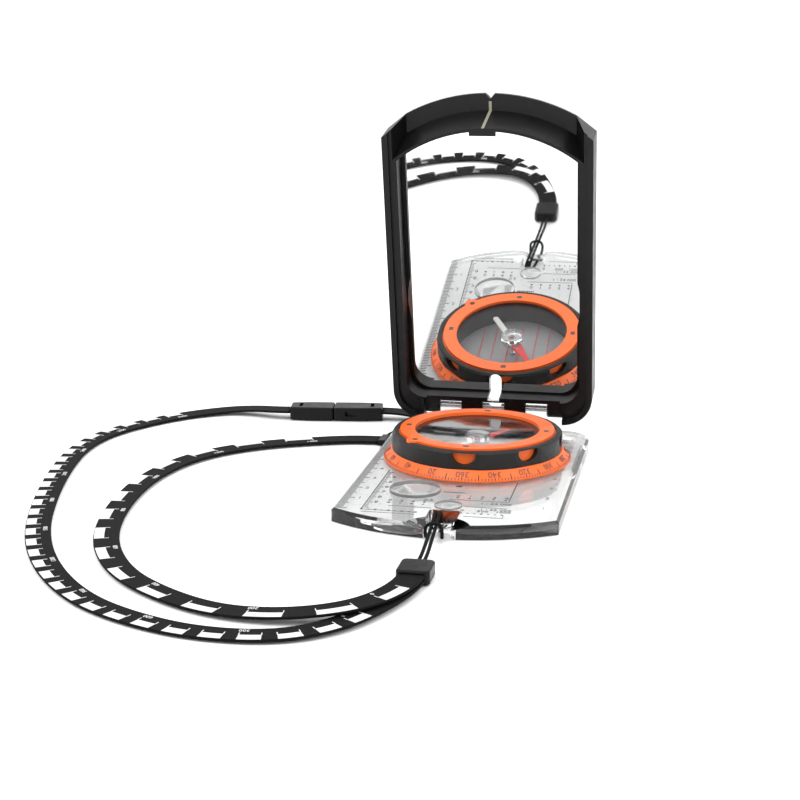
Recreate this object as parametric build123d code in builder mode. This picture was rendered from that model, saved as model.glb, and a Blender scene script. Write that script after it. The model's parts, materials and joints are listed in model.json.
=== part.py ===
"""Sighting compass: clear baseplate, turning dial, folding mirror lid and a neck lanyard.

Units are millimetres. +Z is up, +Y runs from the lanyard end to the hinge, +X is to the right.
The origin is where the dial's axis meets the underside of the baseplate, which lies on z = 0.
The lid is modelled where it stands open, in a plane of its own: its first axis is X, its second
runs from the hinge axis to the lid's free end, and its third points out of the mirror.
"""
import math
import os

from build123d import *

os.makedirs("parts", exist_ok=True)

# ---- driving dimensions ---------------------------------------------------------------------
# baseplate
base_width = 65.0
base_thickness = 4.0
base_tip_y = -70.0  # middle of the convex front edge
base_corner_y = -60.0  # front corners
base_rear_y = 36.0
base_rear_radius = 9.0
base_bevel = 0.8
ledge_thickness = 1.4  # the rim under the dial that the retaining ring hooks behind

# lanyard notch, bar and slot
notch_width = 6.8
bar_front_y = -68.0
bar_rear_y = -65.2
bar_bottom_z = 1.3
bar_top_z = 3.0
slot_rear_y = -56.2
slot_width = 9.0
dish_radius = 9.5
dish_depth = 1.7

# lenses and marks on the baseplate
lens_x = -12.0
lens_y = -39.5
lens_radius = 7.6
lens_height = 1.2
lens_seat_depth = 0.3
dimple_y = -52.0
dimple_radius = 4.0
dimple_height = 0.7
mark_y = -33.2
mark_width = 2.0
mark_length = 1.6
print_thickness = 0.05
rear_hole_x = 25.6
rear_hole_y = 25.6
rear_hole_radius = 1.8

# dial
flange_radius = 29.3
flange_edge = 0.4  # thickness of the graduated disc at its rim
cone_radius = 26.7  # where the graduated cone meets the grip
cone_height = 3.0
hub_radius = 23.95  # skirt of the dial that turns in the baseplate
core_radius = 24.6
core_inner_radius = 22.2
grip_radius = 26.6
grip_height = 5.5
grip_edge = 0.7
window_count = 8
window_width = 7.2
window_height = 3.7
window_drop = 0.5  # from the top of the grip to the window
window_recess = 0.45
ring_radius = 24.1
ring_opening = 19.5
ring_thickness = 1.0
ear_distance = 23.4
ear_radius = 2.7
ear_angle = 225.0
screw_radius = 0.95
screw_depth = 2.0
spanner_hole_radius = 0.28
spanner_hole_pitch = 0.9
retainer_radius = 25.2
retainer_thickness = 0.9

# capsule and needle
capsule_radius = 22.1
capsule_wall = 1.5
capsule_glass = 0.7
capsule_floor_z = 0.5
capsule_floor = 2.4
disc_thickness = 0.4
disc_hole_radius = 1.3
pivot_base_radius = 1.0
pivot_base_height = 0.9
pivot_radius = 0.45
pivot_height = 5.6
needle_z = 8.6
needle_thickness = 0.4
needle_angle = 60.0  # of the north end, from +X
north_length = 16.2
north_width = 3.4
south_length = 15.2
south_width = 2.0
needle_hub_radius = 3.9
needle_hub_height = 2.0
magnet_radius = 3.5
magnet_bore = 1.5
magnet_thickness = 0.9
jewel_radius = 0.9
jewel_height = 0.7

# hinge
hinge_y = 36.6
hinge_z = 10.8
lid_angle = 78.6  # how far the lid stands open, from shut
knuckle_radius = 2.7
knuckle_pitch = 7.15
knuckle_gap = 0.2
outer_knuckle_width = 4.9
pin_radius = 0.75

# lid
lid_width = 66.0
lid_tip = 105.4  # from the hinge axis
lid_shoulder = 98.6
lid_shoulder_half = 26.8
lid_chamfer_start = 93.7
lid_foot = -3.0
lid_corner_radius = 10.0
lid_front = 5.6  # rim, in front of the hinge axis
mirror_face = -3.4
lid_back = -6.2
hinge_clear_u = 3.0  # the lid's edge above the hinge posts
lid_edge_bevel = 1.0
rim_width = 1.9
rim_step_width = 2.4
rim_step_depth = 1.3
mirror_thickness = 1.0
mirror_back = mirror_face - mirror_thickness
mirror_inset = 0.3
frame_width = 1.4
frame_thickness = 0.9
relief_gap = 1.7  # the frame is cut round the grip of the dial
mirror_top = 94.9
mirror_bottom = 4.9
mirror_corner_radius = 6.0
scoop_start = 100.0  # foot of the far end's ramp
scoop_face = -4.4
scoop_taper = 20.0
end_wall_front = 4.4
notch_half = 1.7
notch_depth = 1.9
sight_slot_width = 3.9
sight_slot_top = 10.2
sight_line_width = 0.9
tab_width = 8.3
tab_length = 1.5
tab_shift = -1.4
tab_thickness = 1.2

# lanyard
loop_diameter = 1.0
ribbon_width = 7.2
ribbon_thickness = 0.8
link_diameter = 1.0
block_width = 9.0
block_length = 9.9
block_height = 3.8
block_x = 0.3
block_front_y = -106.6
clasp_width = 8.8
clasp_height = 4.4
clasp_end_width = 7.6
clasp_bottom_z = 0.1
clasp_split = 0.47
tongue_length = 7.0
clasp_slot_length = 4.8
clasp_slot_height = 1.6
clasp_slot_depth = 1.2
clasp_groove_inset = 3.6
clasp_groove_width = 1.2
clasp_groove_length = 4.6
ferrule_length = 2.4
ferrule_width = 7.8
ferrule_height = 1.7

# ---- fits -----------------------------------------------------------------------------------
seat_gap = 0.05  # pieces that are glued or pressed into a seat
turn_gap = 0.05  # radial gap of the dial's skirt and of the hinge pin
slide_gap = 0.10  # faces that slide over each other
moving_gap = 0.3

# ---- worked out -----------------------------------------------------------------------------
half_width = base_width / 2
flange_z = base_thickness + slide_gap
cone_top_z = flange_z + flange_edge + cone_height - flange_edge
grip_z = cone_top_z + seat_gap
grip_top_z = grip_z + grip_height
ring_z = grip_top_z - 0.5
ring_top_z = ring_z + ring_thickness
glass_top_z = ring_z - seat_gap
glass_z = glass_top_z - capsule_glass
floor_top_z = capsule_floor_z + capsule_floor
disc_z = floor_top_z + slide_gap
disc_top_z = disc_z + disc_thickness
bore_radius = hub_radius + turn_gap
ledge_z = base_thickness - ledge_thickness
retainer_top_z = ledge_z - slide_gap
retainer_z = retainer_top_z - retainer_thickness
capsule_inner_radius = capsule_radius - capsule_wall
knuckle_width = knuckle_pitch - knuckle_gap
hinge_half = 3 * knuckle_pitch + knuckle_pitch / 2 - (knuckle_width - outer_knuckle_width)
open_angle = math.radians(lid_angle)
lid_plane = Plane(
    origin=(0, hinge_y, hinge_z),
    x_dir=(1, 0, 0),
    z_dir=(0, -math.sin(open_angle), -math.cos(open_angle)),
)
side_plane = Plane(origin=(0, hinge_y, hinge_z), x_dir=lid_plane.y_dir, z_dir=(1, 0, 0))
lid_half = lid_width / 2


def finish(piece, name):
    """Labels a finished piece and writes its STEP file."""
    piece.part.label = name
    export_step(piece.part, f"parts/{name}.step")


def corner_radii(points):
    """The fillet of each corner of a cord's route: 0.45 of the shorter run beside it."""
    radii = []
    for before, corner, after in zip(points, points[1:], points[2:]):
        run_in = Vector(*corner) - Vector(*before)
        run_out = Vector(*after) - Vector(*corner)
        half_turn = math.radians(run_in.get_angle(run_out)) / 2
        radii.append(0.45 * min(run_in.length, run_out.length) / math.tan(half_turn))
    return radii


def report_route(name, points, path, solid, section_area):
    """Prints a cord's length, its radii and how well its volume agrees with its section."""
    length = sum(edge.length for edge in path.edges())
    ratio = solid.volume / (section_area * length)
    radii = ", ".join(f"{radius:.1f}" for radius in corner_radii(points))
    print(f"{name}: length {length:.1f}, volume ratio {ratio:.3f}, radii {radii}")


# ---- baseplate ------------------------------------------------------------------------------
knuckle_centres = [-2 * knuckle_pitch, 0.0, 2 * knuckle_pitch]
lid_knuckles = [
    (-3 * knuckle_pitch + (knuckle_width - outer_knuckle_width) / 2, outer_knuckle_width),
    (-knuckle_pitch, knuckle_width),
    (knuckle_pitch, knuckle_width),
    (3 * knuckle_pitch - (knuckle_width - outer_knuckle_width) / 2, outer_knuckle_width),
]
post_front_y = hinge_y - knuckle_radius
post_foot_z = base_thickness - 1.0

with BuildPart() as baseplate:
    with BuildSketch():
        with BuildLine():
            Polyline(
                (-half_width, base_corner_y),
                (-half_width, base_rear_y),
                (half_width, base_rear_y),
                (half_width, base_corner_y),
            )
            ThreePointArc(
                (half_width, base_corner_y), (0, base_tip_y), (-half_width, base_corner_y)
            )
        make_face()
    extrude(amount=base_thickness)
    rear_corners = baseplate.edges().filter_by(Axis.Z).group_by(Axis.Y)[-1]
    fillet(rear_corners, base_rear_radius)
    front_corners = baseplate.edges().filter_by(Axis.Z).group_by(Axis.Y)[0]
    fillet(front_corners, 1.2)
    top_face = baseplate.faces().sort_by(Axis.Z)[-1]
    chamfer(top_face.edges(), base_bevel)
    # the dish around the notch, then the notch, the slot and the bar between them
    with Locations((0, base_tip_y - 1.5, base_thickness)):
        CounterSinkHole(0.5, dish_radius, dish_depth, counter_sink_angle=150)
    with BuildSketch():
        with Locations((0, (bar_front_y + base_tip_y) / 2 - 1)):
            Rectangle(notch_width, bar_front_y - base_tip_y + 2)
        with Locations((0, (bar_rear_y + slot_rear_y) / 2)):
            RectangleRounded(slot_width, slot_rear_y - bar_rear_y, 1.0)
    extrude(amount=base_thickness, mode=Mode.SUBTRACT)
    with BuildSketch():
        with Locations((0, (bar_rear_y + bar_front_y) / 2)):
            Rectangle(notch_width, bar_rear_y - bar_front_y)
    extrude(amount=bar_bottom_z, mode=Mode.SUBTRACT)
    with BuildSketch(Plane.XY.offset(bar_top_z)):
        with Locations((0, (bar_rear_y + bar_front_y) / 2)):
            Rectangle(notch_width, bar_rear_y - bar_front_y)
    extrude(amount=base_thickness, mode=Mode.SUBTRACT)
    # the dial's bore and the pocket of its retaining ring
    with Locations((0, 0, base_thickness)):
        Hole(bore_radius)
    with BuildSketch():
        Circle(retainer_radius + moving_gap)
    extrude(amount=ledge_z, mode=Mode.SUBTRACT)
    # seats of the two lenses and the hole at the rear
    with BuildSketch(Plane.XY.offset(base_thickness)):
        with Locations((lens_x, lens_y)):
            Circle(lens_radius + seat_gap)
        with Locations((0, dimple_y)):
            Circle(dimple_radius + seat_gap)
    extrude(amount=-lens_seat_depth, mode=Mode.SUBTRACT)
    with Locations((rear_hole_x, rear_hole_y, base_thickness)):
        Hole(rear_hole_radius)
    # hinge posts with their knuckles
    for centre in knuckle_centres:
        with BuildSketch(Plane.YZ.offset(centre - knuckle_width / 2)):
            with Locations((hinge_y, hinge_z)):
                Circle(knuckle_radius)
            with BuildLine():
                Polyline(
                    (post_front_y, hinge_z),
                    (post_front_y, post_foot_z),
                    (base_rear_y - base_bevel, post_foot_z),
                    (base_rear_y, base_thickness),
                    (hinge_y + knuckle_radius, hinge_z),
                    (post_front_y, hinge_z),
                )
            make_face()
        extrude(amount=knuckle_width)
    with BuildSketch(Plane.YZ.offset(-half_width)):
        with Locations((hinge_y, hinge_z)):
            Circle(pin_radius + turn_gap)
    extrude(amount=base_width, mode=Mode.SUBTRACT)
finish(baseplate, "baseplate")

with BuildPart() as magnifier_lens:
    with Locations((lens_x, lens_y, base_thickness - lens_seat_depth)):
        Cylinder(lens_radius, lens_seat_depth + lens_height,
                 align=(Align.CENTER, Align.CENTER, Align.MIN))
    fillet(magnifier_lens.edges().group_by(Axis.Z)[-1], 0.5)
finish(magnifier_lens, "magnifier_lens")

with BuildPart() as dimple_lens:
    with Locations((0, dimple_y, base_thickness - lens_seat_depth)):
        Cylinder(dimple_radius, lens_seat_depth + dimple_height,
                 align=(Align.CENTER, Align.CENTER, Align.MIN))
    fillet(dimple_lens.edges().group_by(Axis.Z)[-1], 0.5)
finish(dimple_lens, "dimple_lens")

with BuildPart() as index_mark:
    with BuildSketch(Plane.XY.offset(base_thickness)):
        with Locations((0, mark_y)):
            Ellipse(mark_width / 2, mark_length / 2)
    extrude(amount=print_thickness)
finish(index_mark, "index_mark")

with BuildPart() as hinge_pin:
    with BuildSketch(Plane.YZ.offset(-hinge_half)):
        with Locations((hinge_y, hinge_z)):
            Circle(pin_radius)
    extrude(amount=2 * hinge_half)
finish(hinge_pin, "hinge_pin")

# ---- dial -----------------------------------------------------------------------------------
with BuildPart() as dial_flange:
    with BuildSketch(Plane.XZ):
        with BuildLine():
            Polyline(
                (core_radius + seat_gap, flange_z),
                (flange_radius, flange_z),
                (flange_radius, flange_z + flange_edge),
                (cone_radius, cone_top_z),
                (core_radius + seat_gap, cone_top_z),
                close=True,
            )
        make_face()
    revolve(axis=Axis.Z)
finish(dial_flange, "dial_flange")

screw_x = ear_distance * math.cos(math.radians(ear_angle))
screw_y = ear_distance * math.sin(math.radians(ear_angle))
screw_bottom_z = ring_top_z - screw_depth

with BuildPart() as dial_core:
    with BuildSketch(Plane.XZ):
        with BuildLine():
            Polyline(
                (core_inner_radius, retainer_top_z),
                (hub_radius, retainer_top_z),
                (hub_radius, flange_z),
                (core_radius, flange_z),
                (core_radius, glass_top_z),
                (core_inner_radius, glass_top_z),
                close=True,
            )
        make_face()
    revolve(axis=Axis.Z)
    with BuildSketch(Plane.XY.offset(glass_top_z)):
        with Locations((screw_x, screw_y)):
            Circle(screw_radius + moving_gap)
    extrude(amount=-screw_depth, mode=Mode.SUBTRACT)
finish(dial_core, "dial_core")

window_top_z = grip_top_z - window_drop
with BuildPart() as grip_ring:
    with BuildSketch(Plane.XY.offset(grip_z)):
        Circle(grip_radius)
        Circle(core_radius + seat_gap, mode=Mode.SUBTRACT)
    extrude(amount=grip_height)
    outer_top = grip_ring.edges().group_by(Axis.Z)[-1].sort_by(SortBy.LENGTH)[-1]
    chamfer(outer_top, grip_edge)
    # every eighth of the turn has a flat with a window in it, but for the one under the ear
    for step in range(window_count):
        angle = 360 / window_count * step
        if angle == ear_angle:
            continue
        side = Plane.XY.rotated((0, 0, angle)).offset(0)
        outward = Plane(
            origin=(0, 0, 0),
            x_dir=(-math.sin(math.radians(angle)), math.cos(math.radians(angle)), 0),
            z_dir=(math.cos(math.radians(angle)), math.sin(math.radians(angle)), 0),
        )
        with BuildSketch(outward.offset(grip_radius - window_recess)):
            with Locations((0, (grip_z + grip_top_z) / 2)):
                Rectangle(window_width + 2, grip_height)
        extrude(amount=2 * window_recess, mode=Mode.SUBTRACT)
        with BuildSketch(outward.offset(core_inner_radius)):
            with BuildLine():
                Polyline(
                    (-window_width / 2, window_top_z - window_height / 3),
                    (-window_width / 2, window_top_z),
                    (window_width / 2, window_top_z),
                    (window_width / 2, window_top_z - window_height / 3),
                )
                ThreePointArc(
                    (window_width / 2, window_top_z - window_height / 3),
                    (0, window_top_z - window_height),
                    (-window_width / 2, window_top_z - window_height / 3),
                )
            make_face()
        extrude(amount=grip_radius - core_inner_radius + 1, mode=Mode.SUBTRACT)
    # the ring's ear lies in a pocket of the grip
    with BuildSketch(Plane.XY.offset(ring_z - seat_gap)):
        with Locations((screw_x, screw_y)):
            Circle(ear_radius + slide_gap)
    extrude(amount=grip_height, mode=Mode.SUBTRACT)
finish(grip_ring, "grip_ring")

with BuildPart() as top_ring:
    with BuildSketch(Plane.XY.offset(ring_z)):
        Circle(ring_radius)
        with Locations((screw_x, screw_y)):
            Circle(ear_radius)
        Circle(ring_opening, mode=Mode.SUBTRACT)
    extrude(amount=ring_thickness)
    with BuildSketch(Plane.XY.offset(ring_z)):
        with Locations((screw_x, screw_y)):
            Circle(screw_radius + turn_gap)
    extrude(amount=ring_thickness, mode=Mode.SUBTRACT)
finish(top_ring, "top_ring")

with BuildPart() as declination_screw:
    with Locations((screw_x, screw_y, screw_bottom_z)):
        Cylinder(screw_radius, screw_depth - slide_gap,
                 align=(Align.CENTER, Align.CENTER, Align.MIN))
    with BuildSketch(Plane.XY.offset(ring_top_z - slide_gap)):
        with Locations(Location((screw_x, screw_y), -45)):
            with GridLocations(spanner_hole_pitch, 1, 2, 1):
                Circle(spanner_hole_radius)
    extrude(amount=-screw_depth / 2, mode=Mode.SUBTRACT)
finish(declination_screw, "declination_screw")

with BuildPart() as retaining_ring:
    with BuildSketch(Plane.XY.offset(retainer_z)):
        Circle(retainer_radius)
        Circle(core_inner_radius, mode=Mode.SUBTRACT)
    extrude(amount=retainer_thickness)
finish(retaining_ring, "retaining_ring")

# ---- capsule --------------------------------------------------------------------------------
with BuildPart() as capsule_wall_ring:
    with BuildSketch(Plane.XY.offset(capsule_floor_z)):
        Circle(capsule_radius)
        Circle(capsule_inner_radius, mode=Mode.SUBTRACT)
    extrude(amount=glass_z - seat_gap - capsule_floor_z)
finish(capsule_wall_ring, "capsule_wall")

with BuildPart() as capsule_top:
    with Locations((0, 0, glass_z)):
        Cylinder(capsule_radius, capsule_glass, align=(Align.CENTER, Align.CENTER, Align.MIN))
finish(capsule_top, "capsule_glass")

with BuildPart() as capsule_bottom:
    with Locations((0, 0, capsule_floor_z)):
        Cylinder(capsule_inner_radius - seat_gap, capsule_floor,
                 align=(Align.CENTER, Align.CENTER, Align.MIN))
finish(capsule_bottom, "capsule_floor")

with BuildPart() as orienting_disc:
    with BuildSketch(Plane.XY.offset(disc_z)):
        Circle(capsule_inner_radius - moving_gap)
        Circle(disc_hole_radius, mode=Mode.SUBTRACT)
    extrude(amount=disc_thickness)
finish(orienting_disc, "orienting_disc")

pivot_tip_z = floor_top_z + pivot_base_height + pivot_height
with BuildPart() as pivot_pin:
    with BuildSketch(Plane.XZ):
        with BuildLine():
            Polyline(
                (0, floor_top_z),
                (pivot_base_radius, floor_top_z),
                (pivot_base_radius, floor_top_z + pivot_base_height),
                (pivot_radius, floor_top_z + pivot_base_height + 0.4),
                (pivot_radius, pivot_tip_z - 0.8),
                (0, pivot_tip_z),
                close=True,
            )
        make_face()
    revolve(axis=Axis.Z)
finish(pivot_pin, "pivot_pin")

# ---- needle ---------------------------------------------------------------------------------
needle_plane = Plane.XY.offset(needle_z).rotated((0, 0, needle_angle))
blade_start = magnet_radius + seat_gap
hub_z = needle_z + needle_thickness + seat_gap

with BuildPart() as needle_north:
    with BuildSketch(needle_plane):
        with BuildLine():
            Polyline(
                (blade_start, -north_width / 2),
                (blade_start + 2.0, -north_width / 2),
                (north_length, -0.5),
                (north_length, 0.5),
                (blade_start + 2.0, north_width / 2),
                (blade_start, north_width / 2),
                close=True,
            )
        make_face()
        with BuildLine():
            Polyline(
                (blade_start - 0.1, -north_width / 5),
                (blade_start + 3.2, 0),
                (blade_start - 0.1, north_width / 5),
                close=True,
            )
        make_face(mode=Mode.SUBTRACT)
        with Locations((0, 0)):
            Circle(blade_start, mode=Mode.SUBTRACT)
    extrude(amount=needle_thickness)
finish(needle_north, "needle_north")

with BuildPart() as needle_south:
    with BuildSketch(needle_plane):
        with Locations((-(south_length + magnet_radius) / 2, 0)):
            SlotOverall(south_length - magnet_radius + south_width, south_width)
        Circle(blade_start, mode=Mode.SUBTRACT)
        with Locations((-south_length - south_width, 0)):
            Rectangle(south_width, south_width, mode=Mode.SUBTRACT)
    extrude(amount=needle_thickness)
finish(needle_south, "needle_south")

jewel_z = pivot_tip_z + seat_gap - 0.4
with BuildPart() as needle_hub:
    with Locations((0, 0, hub_z)):
        Cylinder(needle_hub_radius, needle_hub_height,
                 align=(Align.CENTER, Align.CENTER, Align.MIN))
    fillet(needle_hub.edges().group_by(Axis.Z)[-1], 0.3)
    with BuildSketch(Plane.XY.offset(hub_z)):
        Circle(jewel_radius + seat_gap)
    extrude(amount=jewel_z + jewel_height + seat_gap - hub_z, mode=Mode.SUBTRACT)
finish(needle_hub, "needle_hub")

with BuildPart() as needle_magnet:
    with BuildSketch(Plane.XY.offset(hub_z - seat_gap - magnet_thickness)):
        Circle(magnet_radius)
        Circle(magnet_bore, mode=Mode.SUBTRACT)
    extrude(amount=magnet_thickness)
finish(needle_magnet, "needle_magnet")

with BuildPart() as jewel_bearing:
    with Locations((0, 0, jewel_z)):
        Cylinder(jewel_radius, jewel_height, align=(Align.CENTER, Align.CENTER, Align.MIN))
    with BuildSketch(Plane.XZ):
        with BuildLine():
            Polyline(
                (0, pivot_tip_z + seat_gap),
                (jewel_radius * 0.7, jewel_z - 0.3),
                (0, jewel_z - 0.3),
                close=True,
            )
        make_face()
    revolve(axis=Axis.Z, mode=Mode.SUBTRACT)
finish(jewel_bearing, "jewel_bearing")

# ---- lid ------------------------------------------------------------------------------------
rim_half = lid_half - rim_width
cavity_half = rim_half - rim_step_width
mirror_half = cavity_half - mirror_inset
frame_half = cavity_half - frame_width
step_front = lid_front - rim_step_depth
top_rise = lid_tip - lid_shoulder
top_radius = (lid_shoulder_half**2 + top_rise**2) / (2 * top_rise)
top_centre = lid_tip - top_radius


def top_arc_at(x, tip):
    """Height of the curve that runs parallel to the lid's free end through the given tip."""
    radius = tip - top_centre
    return top_centre + math.sqrt(radius**2 - x**2)


def tray_sketch(plane, half, bottom, tip, corner):
    """A tray outline: straight sides and foot, rounded lower corners and the lid's curve on top."""
    shoulder = top_arc_at(half, tip)
    with BuildSketch(plane) as tray:
        with BuildLine():
            Polyline(
                (-half, shoulder), (-half, bottom), (half, bottom), (half, shoulder)
            )
            ThreePointArc((half, shoulder), (0, tip), (-half, shoulder))
        make_face()
        fillet(tray.vertices().group_by(Axis.Y)[0], corner)
    return tray.sketch


cavity_bottom = 4.3
cavity_tip = 95.8
cavity_corner = 6.5


def scoop_cutter(lift):
    """The hollow outside the end wall, less a layer of the given thickness on its floor and ramp."""
    height = lid_front - scoop_face + 1
    foot_radius = scoop_start - top_centre + lift / math.cos(math.radians(scoop_taper))
    with BuildPart() as cutter:
        with BuildSketch(lid_plane.offset(scoop_face + lift)):
            with Locations((0, lid_tip - lid_shoulder_half / 2)):
                Rectangle(2 * lid_shoulder_half, 2 * lid_shoulder_half)
        extrude(amount=height, taper=-scoop_taper)
        with Locations(lid_plane.offset(scoop_face + lift) * Location((0, top_centre, 0))):
            Cone(
                foot_radius,
                foot_radius - height * math.tan(math.radians(scoop_taper)),
                height,
                align=(Align.CENTER, Align.CENTER, Align.MIN),
                mode=Mode.SUBTRACT,
            )
    return cutter.part


with BuildPart() as lid_shell:
    with BuildSketch(lid_plane.offset(lid_back)) as outline:
        with BuildLine():
            Polyline(
                (-lid_shoulder_half, lid_shoulder),
                (-lid_half, lid_chamfer_start),
                (-lid_half, lid_foot),
                (lid_half, lid_foot),
                (lid_half, lid_chamfer_start),
                (lid_shoulder_half, lid_shoulder),
            )
            ThreePointArc(
                (lid_shoulder_half, lid_shoulder), (0, lid_tip), (-lid_shoulder_half, lid_shoulder)
            )
        make_face()
        fillet(outline.vertices().group_by(Axis.Y)[0], lid_corner_radius)
    extrude(amount=lid_front - lid_back)
    back_edges = lid_shell.faces().sort_by(Axis(lid_plane.origin, lid_plane.z_dir))[0].edges()
    chamfer(back_edges, lid_edge_bevel)
    # room for the hinge posts, then the four knuckles
    with BuildSketch(lid_plane.offset(lid_back)):
        with Locations((0, lid_foot)):
            Rectangle(2 * hinge_half + 2 * slide_gap, 2 * (hinge_clear_u - lid_foot))
    extrude(amount=lid_front - lid_back, mode=Mode.SUBTRACT)
    with BuildSketch(lid_plane.offset(knuckle_radius)):
        with Locations((0, lid_foot)):
            Rectangle(2 * hinge_half + 2 * slide_gap, 2 * (cavity_bottom - lid_foot))
    extrude(amount=lid_front, mode=Mode.SUBTRACT)
    for centre, width in lid_knuckles:
        with BuildSketch(side_plane.offset(centre - width / 2)):
            Circle(knuckle_radius)
            with BuildLine():
                Polyline(
                    (0, knuckle_radius),
                    (cavity_bottom, knuckle_radius),
                    (cavity_bottom, lid_back),
                    (lid_edge_bevel, lid_back),
                    (0, lid_back + lid_edge_bevel),
                    close=True,
                )
            make_face()
        extrude(amount=width)
    with BuildSketch(side_plane.offset(-hinge_half)):
        Circle(pin_radius + turn_gap)
    extrude(amount=2 * hinge_half, mode=Mode.SUBTRACT)
    # the tray, its wider mouth, the ramp at the free end and the notch
    tray = tray_sketch(
        lid_plane.offset(mirror_back), cavity_half, cavity_bottom, cavity_tip, cavity_corner
    )
    extrude(tray, amount=lid_front - mirror_back, mode=Mode.SUBTRACT)
    with BuildSketch(lid_plane.offset(end_wall_front)) as mouth:
        with Locations((0, (lid_foot + rim_width + lid_tip + 12) / 2)):
            Rectangle(2 * rim_half, lid_tip + 12 - lid_foot - rim_width)
        fillet(mouth.vertices().group_by(Axis.Y)[0], lid_corner_radius - rim_width)
    extrude(amount=lid_front, mode=Mode.SUBTRACT)
    add(scoop_cutter(0), mode=Mode.SUBTRACT)
    with BuildSketch(lid_plane.offset(lid_back)):
        with BuildLine():
            Polyline(
                (-notch_half, lid_tip + 0.2),
                (0, lid_tip - notch_depth),
                (notch_half, lid_tip + 0.2),
                close=True,
            )
        make_face()
    extrude(amount=lid_front - lid_back, mode=Mode.SUBTRACT)
    # the tab in the middle of the end wall
    with BuildSketch(lid_plane.offset(end_wall_front)):
        with Locations((tab_shift, cavity_tip - tab_length / 2 + 0.2)):
            Rectangle(tab_width, tab_length + 0.4)
    extrude(amount=-tab_thickness)
    # the sighting slot above the hinge
    with BuildSketch(lid_plane.offset(lid_back)):
        with Locations((0, sight_slot_top - sight_slot_width / 2)):
            Circle(sight_slot_width / 2)
        with Locations((0, (sight_slot_top - sight_slot_width / 2) / 2)):
            Rectangle(sight_slot_width, sight_slot_top - sight_slot_width / 2)
    extrude(amount=lid_front - lid_back, mode=Mode.SUBTRACT)
finish(lid_shell, "lid_shell")


def slot_sketch(plane):
    """The sighting slot's outline, run out past the lower edge of the mirror."""
    with BuildSketch(plane) as slot:
        with Locations((0, sight_slot_top - sight_slot_width / 2)):
            Circle(sight_slot_width / 2)
        with Locations((0, (sight_slot_top - sight_slot_width / 2) / 2)):
            Rectangle(sight_slot_width, sight_slot_top - sight_slot_width / 2)
    return slot.sketch


with BuildPart() as mirror:
    tray = tray_sketch(
        lid_plane.offset(mirror_back),
        mirror_half,
        cavity_bottom + mirror_inset,
        cavity_tip - mirror_inset,
        mirror_corner_radius,
    )
    extrude(tray, amount=mirror_thickness)
    extrude(slot_sketch(lid_plane.offset(mirror_back)), amount=mirror_thickness, mode=Mode.SUBTRACT)
finish(mirror, "mirror")

with BuildPart() as mirror_frame:
    tray = tray_sketch(
        lid_plane.offset(mirror_face),
        cavity_half - seat_gap,
        cavity_bottom + seat_gap,
        cavity_tip - seat_gap,
        cavity_corner,
    )
    extrude(tray, amount=frame_thickness)
    tray = tray_sketch(
        lid_plane.offset(mirror_face), frame_half, mirror_bottom, mirror_top, mirror_corner_radius
    )
    extrude(tray, amount=frame_thickness, mode=Mode.SUBTRACT)
    with BuildSketch(lid_plane.offset(mirror_face)):
        with Locations((0, hinge_y)):
            Circle(grip_radius + relief_gap)
    extrude(amount=frame_thickness, mode=Mode.SUBTRACT)
    extrude(slot_sketch(lid_plane.offset(mirror_face)), amount=frame_thickness, mode=Mode.SUBTRACT)
finish(mirror_frame, "mirror_frame")

# the painted line runs down the lip and the ramp, and slants to the middle of the tab
ramp_foot_u = scoop_start - (end_wall_front - scoop_face) * math.tan(math.radians(scoop_taper))
with BuildPart() as sight_line:
    add(scoop_cutter(0))
    add(scoop_cutter(print_thickness), mode=Mode.SUBTRACT)
    with BuildSketch(lid_plane.offset(lid_back)):
        with BuildLine():
            Polyline(
                (-sight_line_width / 2, lid_tip - notch_depth - 0.6),
                (sight_line_width / 2, lid_tip - notch_depth - 0.6),
                (sight_line_width / 2, scoop_start),
                (tab_shift + sight_line_width / 2, ramp_foot_u - 0.5),
                (tab_shift - sight_line_width / 2, ramp_foot_u - 0.5),
                (-sight_line_width / 2, scoop_start),
                close=True,
            )
        make_face()
    extrude(amount=end_wall_front - lid_back, mode=Mode.INTERSECT)
finish(sight_line, "sight_line")

# ---- lanyard --------------------------------------------------------------------------------
block_rear_y = block_front_y + block_length
under_bar_z = (bar_bottom_z + 0.1) / 2
strand_z = block_height / 2 + 0.3
over_bar_z = bar_top_z + loop_diameter + 0.35
crossing_z = over_bar_z + loop_diameter + 0.15
crossing_y = base_tip_y - 3.0
slot_back_y = slot_rear_y - 0.9
strand_turn_y = block_rear_y + 6
strand_middle_z = (strand_z + over_bar_z) / 2 + 0.2


def loop_half(start_x, over_x, rear_x, front_x):
    """One half of the loop: over the bar, down the slot, under the bar and up to the crossing."""
    return [
        (start_x, block_rear_y, strand_z),
        (start_x, strand_turn_y, strand_z),
        ((start_x + over_x) / 2 + 0.1, (strand_turn_y + crossing_y) / 2, strand_middle_z),
        (over_x, crossing_y + 1.0, over_bar_z),
        ((over_x + rear_x) / 2, (crossing_y + slot_back_y) / 2 + 0.6, over_bar_z + 0.15),
        (rear_x, slot_back_y, over_bar_z),
        (rear_x, slot_back_y, under_bar_z),
        ((rear_x + front_x) / 2 + 0.15, (crossing_y + slot_back_y) / 2, under_bar_z),
        (front_x, crossing_y, under_bar_z),
        (front_x, crossing_y, crossing_z),
        (0.0, crossing_y, crossing_z),
    ]


def round_cord(name, points, diameter):
    """A cord of round section along straight runs and tangent arcs."""
    with BuildPart() as cord:
        with BuildLine() as route:
            FilletPolyline(*points, radius=corner_radii(points))
        with BuildSketch(Plane(origin=route.line @ 0, z_dir=route.line % 0)):
            Circle(diameter / 2)
        sweep()
    report_route(name, points, route.line, cord.part, math.pi * diameter**2 / 4)
    finish(cord, name)


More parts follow.
